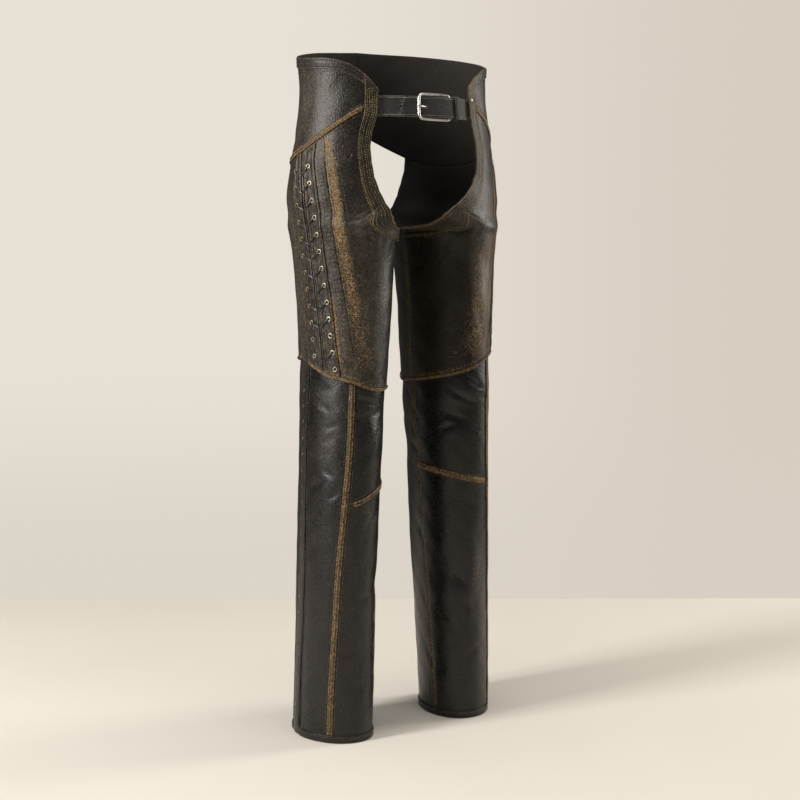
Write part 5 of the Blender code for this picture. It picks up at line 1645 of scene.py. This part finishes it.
@dataclass
class Lacing:
    """The eyelet strips, their eyelets and the lace of one side; millimetres."""

    skin: Skin
    pitch: dict = field(default_factory=lambda: {Side.RIGHT: 26.2, Side.LEFT: 25.0})
    top: dict = field(default_factory=lambda: {Side.RIGHT: 0.9206, Side.LEFT: 0.931})
    fronts: int = 13
    rears: int = 12
    rear_drop: float = 7.0
    apex_drop: float = 15.5
    slit_half: float = 2.8
    strip_base: float = 0.6
    strip_rise: float = 1.3
    strip_edge: float = 0.4  # how far its edges are rounded
    front_margin: float = 8.0  # of the front strip past its eyelets' line
    rear_margin: float = 1.0  # of the rear strip past the outseam
    hem_gap: float = 6.2
    yoke_gap: float = 6.6
    ring_radius: float = 3.15
    ring_wire: float = 0.85
    ring_lift: float = 2.35
    well_lift: float = 2.0
    lace_half: float = 1.4
    lace_thick: float = 0.7
    lace_sides: int = 8
    lace_depth: float = 1.4
    lace_sag: float = 0.3  # of an arm, up or down
    # an arm's share of the way from its eyelet into the slit, and its lift there
    arm: Table = ((0.0, 1.3), (0.05, 2.6), (0.13, 4.1), (0.26, 4.3), (0.5, 3.6), (0.72, 3.4), (0.86, 2.9),
                  (0.95, 1.7), (1.02, 0.9))

    def heights(self, count: int, drop: float = 0.0) -> list[float]:
        """Heights of a column of eyelets."""
        side = self.skin.side
        return [self.top[side] - (drop + self.pitch[side] * i) * MM for i in range(count)]

    def strip(self, which: str, near: Line, far: Line) -> bpy.types.Object:
        """One eyelet strip.

        Args:
            which: front or rear.
            near: the angle of one side at a height.
            far: the angle of the other side.

        Returns:
            The strip, which replaces the solid with its eyelets.
        """
        hem = THIGH_HEM[self.skin.side]
        node = f"{self.skin.side.label}_eyelet_strip_{which}"
        ends = (lambda angle: level(hem, angle) + self.hem_gap * MM,
                lambda angle: level(YOKE_SEAM, angle) - self.yoke_gap * MM)
        flat = Pattern.of_ribbon(self.skin, f"{node}_leather", (near, far), ends, (18, 130),
                                 self.strip_base * MM, self.strip_rise * MM)
        flat.round_edges(self.strip_edge).shape(rolled)
        return hand_over(flat.lay(), Finish.LACED, [node])

    def repeat(self, name: str, shape: Shape, lift: float, finish: Finish) -> bpy.types.Object:
        """Copy a small shape to every eyelet and join the copies.

        Args:
            name: the piece's name.
            shape: its points and faces, made round Z.
            lift: millimetres above the skin.
            finish: what it is made of.

        Returns:
            The joined copies.
        """
        copies, (points, faces) = Joined(), shape
        for line, heights in ((FRONT_EYELET_LINE, self.heights(self.fronts)),
                              (REAR_EYELET_LINE, self.heights(self.rears, self.rear_drop))):
            for height in heights:
                centre, axes = self.skin.stand(float(curve(line, height)), height, lift)
                copies.add(centre + points @ axes, faces)
        return hand_over(face_out(copies.piece(name)), finish, smooth=40)

    def thong(self, path: Sequence[tuple[float, float, float]], roll: float = 0.0) -> Shape:
        """Sweep a flat thong.

        Args:
            path: its middle, as (angle, height, lift in millimetres).
            roll: how far it turns over on its way, in radians.

        Returns:
            Its points and faces.
        """
        places = np.asarray(path, float)
        line = self.skin.place(places[:, 0], places[:, 1], places[:, 2] * MM)
        tangent = unit(np.gradient(line, axis=0))
        side = unit(np.cross(tangent, self.skin.steps(places[:, 0], places[:, 1])[2]))
        up_it = np.cross(side, tangent)
        sides, last = self.lace_sides, len(line) - 1
        turns = np.linspace(0, 2 * math.pi, sides, endpoint=False) + math.pi / sides
        rings = []
        for i in range(len(line)):
            twist = roll * i / last
            wide = side[i] * math.cos(twist) + up_it[i] * math.sin(twist)
            thick = np.cross(tangent[i], wide) * self.lace_thick * MM
            wide = wide * self.lace_half * MM
            rings.append([line[i] + wide * math.cos(t) + thick * math.sin(t) for t in turns])
        quads = [(k, (k + 1) % sides, (k + 1) % sides + sides, k + sides) for k in range(sides)]
        faces = [tuple(sides * i + k for k in quad) for i in range(last) for quad in quads]
        faces += [tuple(range(sides - 1, -1, -1)), tuple(sides * last + k for k in range(sides))]
        return np.array(rings).reshape(-1, 3), faces

    def lace(self) -> bpy.types.Object:
        """The arms from the eyelets into the slit, and the lace's run inside it.

        Returns:
            The lace as one piece.
        """
        side, lace, fronts, spine = self.skin.side, Joined(), self.heights(self.fronts), []
        random.seed(7 + side.value)
        for row, arms in [(row, (-1, 1)) for row in range(10)] + [(11, (1,))]:
            apex = fronts[row] - self.apex_drop * MM
            middle = float(curve(LACE_SLIT, apex))
            spine.append(apex)
            for sign in arms:
                line, drop = (FRONT_EYELET_LINE, 0.0) if sign > 0 else (REAR_EYELET_LINE, self.rear_drop)
                tip = fronts[row] - drop * MM
                eye = float(curve(line, tip))
                sag = random.uniform(-self.lace_sag, self.lace_sag) * MM
                path = [(eye + (middle - eye) * share,
                         tip + (apex - tip) * share + sag * math.sin(math.pi * share), lift)
                        for share, lift in self.arm]
                lace.add(*self.thong(path, random.uniform(-0.5, 0.5)))
        for high, low in zip(spine, spine[1:]):
            run = high + (low - high) * np.linspace(0.0, 1.0, 7)
            lace.add(*self.thong([(float(curve(LACE_SLIT, h)), float(h), self.lace_depth) for h in run]))
        piece = face_out(lace.piece(f"{side.label}_lace_leather"))
        return hand_over(piece, Finish.LACE, [f"{side.label}_lace"], smooth=60)

    def build(self) -> list[bpy.types.Object]:
        """Make the strips, eyelets and lace.

        Returns:
            The strips, the eyelets and the dark discs of painted shade in them, and the lace.
        """
        label = self.skin.side.label
        ring = model("torus", (1, 1, 0.85), major_segments=18, minor_segments=8,
                     major_radius=self.ring_radius * MM, minor_radius=self.ring_wire * MM)
        # a dark disc in each eyelet: painted shade in its hole
        well = model("cylinder", (1, 1, 1), vertices=14, radius=(self.ring_radius - 0.2) * MM, depth=0.5 * MM)
        return [
            self.strip("front", beside(LACE_SLIT, self.slit_half),
                       beside(FRONT_EYELET_LINE, self.front_margin)),
            self.strip("rear", beside(OUTSEAM, self.rear_margin), beside(LACE_SLIT, -self.slit_half)),
            self.repeat(f"{label}_eyelets", ring, self.ring_lift, Finish.RING),
            self.repeat(f"{label}_eyelet_wells", well, self.well_lift, Finish.HOLLOW),
            self.lace(),
        ]


# ---------------------------------------------------------------- the belt
@dataclass
class Belt:
    """The belt's two straps, its buckle and keeper; millimetres."""

    skin: Skin = field(default_factory=lambda: Skin(Side.LEFT))
    width: float = 32.0
    tongue_path: Table = ((55, -2.9), (62, -2.8), (67, -2.2), (73, 0.6), (77.8, 1.5), (84, 0.9), (92, -0.9),
                          (96, -1.6), (100, -2.1), (104, -2.6), (112, -2.9), (134, -2.9))
    edge_width: float = 0.5
    edge_row: float = 3.0
    sewn: Table = ((61.5, 72.6), (77.0, 132))  # from where to where round the waist
    hole_angles: tuple[float, ...] = (110.0, 85.0, 72.0)
    hole_radius: float = 1.75
    hole_depth: float = 0.2
    hole_lift: float = 0.12  # above the tongue's line
    rivet_radius: float = 2.1
    rivet_place: Place = (60.2, 1.0285)
    rivet_lift: float = 1.9
    rivet_height: float = 0.45  # a share of its radius
    frame_plate: float = 0.45
    prong_plate: float = 0.15

    def strap(self, node: str, upright_cuts: int, finish: Finish) -> bpy.types.Object:
        """One strap, rounded and refined from its solid.

        Args:
            node: the solid.
            upright_cuts: cuts in each edge that runs up it.
            finish: what it is made of.

        Returns:
            The strap.
        """
        flat = Pattern.of_node(self.skin, node, 0)
        flat.round_edges(self.edge_width).cut(2, upright_cuts)
        return hand_over(flat.lay(creased=False), finish, [node])

    def settle(self, piece: bpy.types.Object, name: str, place: Place, lift: float,
               flat: float = 1.0) -> None:
        """Turn a piece made at the origin onto the skin.

        Args:
            piece: what is moved.
            name: what it is called.
            place: the angle round the waist and the height.
            lift: millimetres above the skin.
            flat: how much its own height is kept.
        """
        piece.name = name
        centre, axes = self.skin.stand(*place, lift)
        move_to(piece, centre + (coordinates(piece) * np.array((1, 1, flat))) @ axes)

    def rivet(self) -> bpy.types.Object:
        """The small rivet through the left yoke's edge beside the belt."""
        dome = primitive("uv_sphere", segments=16, ring_count=8, radius=self.rivet_radius * MM)
        self.settle(dome, "yoke_rivet", self.rivet_place, self.rivet_lift, self.rivet_height)
        return hand_over(dome, Finish.NICKEL)

    def holes(self) -> list[bpy.types.Object]:
        """Dark discs of painted shade in the tongue's holes.

        Returns:
            One disc for each hole.
        """
        made = []
        for index, angle in enumerate(self.hole_angles):
            disc = primitive("cylinder", vertices=20, radius=self.hole_radius * MM,
                             depth=self.hole_depth * MM)
            lift = float(curve(self.tongue_path, angle)) + self.hole_lift
            self.settle(disc, f"belt_hole_{index}", (angle, BELT_HEIGHT), lift)
            made.append(hand_over(disc, Finish.HOLLOW))
        return made

    def metal(self, node: str, thicker: float) -> bpy.types.Object:
        """One of the buckle's wires, smoothed; it gets thicker by some millimetres, as plate is.

        Args:
            node: the solid.
            thicker: millimetres on every side.

        Returns:
            The wire.
        """
        piece = copied(node, f"{node}_metal")
        with edit_mode(piece):
            bpy.ops.mesh.tris_convert_to_quads(face_threshold=math.radians(40),
                                               shape_threshold=math.radians(60))
        apply_modifier(piece, "SUBSURF", levels=2, render_levels=2)
        apply_modifier(piece, "DISPLACE", strength=thicker * MM, mid_level=0.0)
        return hand_over(piece, Finish.NICKEL, [node], smooth=60)

    def sewing(self) -> bpy.types.Object:
        """A row along each edge, degree by degree, because the tongue rises over the buckle.

        Returns:
            The rows as one piece.
        """
        thread = Sewing("belt_sewing", Finish.PALE_THREAD, pitch=2.6, length=2.7, thickness=0.85)
        for sign in (-1, 1):
            height = BELT_HEIGHT + sign * (self.width / 2 - self.edge_row) * MM
            for start, end in self.sewn:
                angles = np.arange(start, end, 1.0)
                for one, other in zip(angles, angles[1:]):
                    lift = float(curve(self.tongue_path, (one + other) / 2))
                    thread.row(self.skin, [(one, height), (other, height)], lift, creased=False)
        return thread.build(Slot.BELT)

    def build(self) -> list[bpy.types.Object]:
        """Make the straps, the buckle and the belt's sewing."""
        return [self.strap("belt_tongue", 6, Finish.BELT), self.strap("belt_buckle_strap", 6, Finish.BELT),
                self.strap("belt_keeper", 4, Finish.KEEPER), self.metal("buckle_frame", self.frame_plate),
                self.metal("buckle_prong", self.prong_plate), self.rivet(), *self.holes(), self.sewing()]


# ---------------------------------------------------------------- the studio
@dataclass
class Studio:
    """The floor, the light and the camera; metres and degrees."""

    azimuth: float = -33.0727
    distance: float = 2.451
    camera_height: float = -0.1882
    pitch: float = 6.5705
    yaw: float = 0.2295
    focal: float = 1487.5489 / 800  # in picture widths
    sensor: float = 36.0
    floor_behind: float = 0.815
    floor_radius: float = 1.9
    floor_gap: float = 0.2 * MM
    wall_radius: float = 14.0
    sky: tuple = (0.86, 0.82, 0.77, 1)
    sky_strength: float = 0.11
    lights: tuple = (
        # name, place, target, width, height, power, colour
        ("left_softbox", (-3.0, 0.12, 0.85), (0.0, 0.0, 0.0), 0.6, 2.2, 125.0, (1.0, 0.985, 0.965)),
        ("right_softbox", (2.9, -0.75, 0.45), (0.0, 0.0, -0.2), 0.8, 2.0, 62.0, (1.0, 0.95, 0.88)),
        ("front_fill", (1.7, -3.2, 1.0), (0.0, 0.0, -0.3), 1.2, 1.8, 9.0, (1.0, 0.97, 0.94)),
        ("top_light", (-0.2, -0.4, 3.2), (0.0, 0.0, -1.0), 3.4, 3.4, 112.0, (1.0, 0.98, 0.95)),
    )

    def stage(self) -> None:
        """A pale floor just under the hems, and a glowing pale wall with painted shade far round it that only
        the camera sees.
        """
        floor = primitive("circle", vertices=128, radius=self.floor_radius, fill_type="NGON")
        floor.name = "studio_floor"
        across, back = coordinates(floor)[:, :2].T
        back, turn = np.minimum(back, self.floor_behind), math.radians(self.azimuth)
        move_to(floor, np.stack((across * math.cos(turn) - back * math.sin(turn),
                                 across * math.sin(turn) + back * math.cos(turn),
                                 np.full_like(back, -BELT_HEIGHT - self.floor_gap)), axis=-1))
        floor.data.materials.append(Wardrobe.of(Finish.FLOOR))
        wall = primitive("uv_sphere", segments=32, ring_count=16, radius=self.wall_radius)
        wall.name = "studio_wall"
        wall.data.materials.append(Wardrobe.of(Finish.WALL))
        for seen in ("diffuse", "glossy", "transmission", "volume_scatter", "shadow"):
            setattr(wall, f"visible_{seen}", False)

    def aimed(self, name: str, data: bpy.types.ID, place: Vector, aim: Vector) -> bpy.types.Object:
        """Put a light or the camera in its place, looking along a direction."""
        made = linked(name, data)
        made.matrix_world = Matrix.Translation(place) @ aim.to_track_quat("-Z", "Y").to_matrix().to_4x4()
        return made

    def light(self) -> None:
        """Soft boxes at the sides and above, a weak fill and an even sky."""
        for name, place, target, width, height, power, colour in self.lights:
            data = bpy.data.lights.new(name, "AREA")
            data.shape, data.size, data.size_y = "RECTANGLE", width, height
            data.energy, data.color = power, colour
            self.aimed(name, data, Vector(place), Vector(target) - Vector(place))
        world = bpy.data.worlds.new("studio_sky")
        bpy.context.scene.world = world
        world.use_nodes = True
        sky = world.node_tree.nodes["Background"]
        sky.inputs["Color"].default_value = self.sky
        sky.inputs["Strength"].default_value = self.sky_strength
        bpy.context.scene.view_settings.view_transform = "Standard"

    def camera(self) -> None:
        """The camera, in front of the wearer's right leg."""
        turn, tilt, yaw = (math.radians(x) for x in (self.azimuth, self.pitch, self.yaw))
        place = Vector((math.sin(turn) * self.distance, -math.cos(turn) * self.distance, self.camera_height))
        level_aim = Vector((math.sin(yaw - turn), math.cos(yaw - turn), 0))
        data = bpy.data.cameras.new("studio_camera")
        data.sensor_width, data.lens = self.sensor, self.focal * self.sensor
        aim = level_aim * math.cos(tilt) - Vector((0, 0, math.sin(tilt)))
        bpy.context.scene.camera = self.aimed("studio_camera", data, place, aim)

    def build(self) -> None:
        """Set up the studio."""
        self.stage()
        self.light()
        self.camera()


def main() -> None:
    """Build the chaps, the belt and the studio."""
    logging.basicConfig(level=logging.INFO, format="%(name)s %(message)s")
    Studio().build()
    for side in Side:
        skin = Skin(side, tuple(Crease(*row) for row in CREASES[side]))
        for assembly in (Panels(skin), Edging(skin), Lacing(skin), SideSewing(skin)):
            made = assembly.build()
            LOG.info("%s %s: %d pieces", side.label, type(assembly).__name__, len(made))
    Belt().build()


if __name__ == "__main__":
    main()
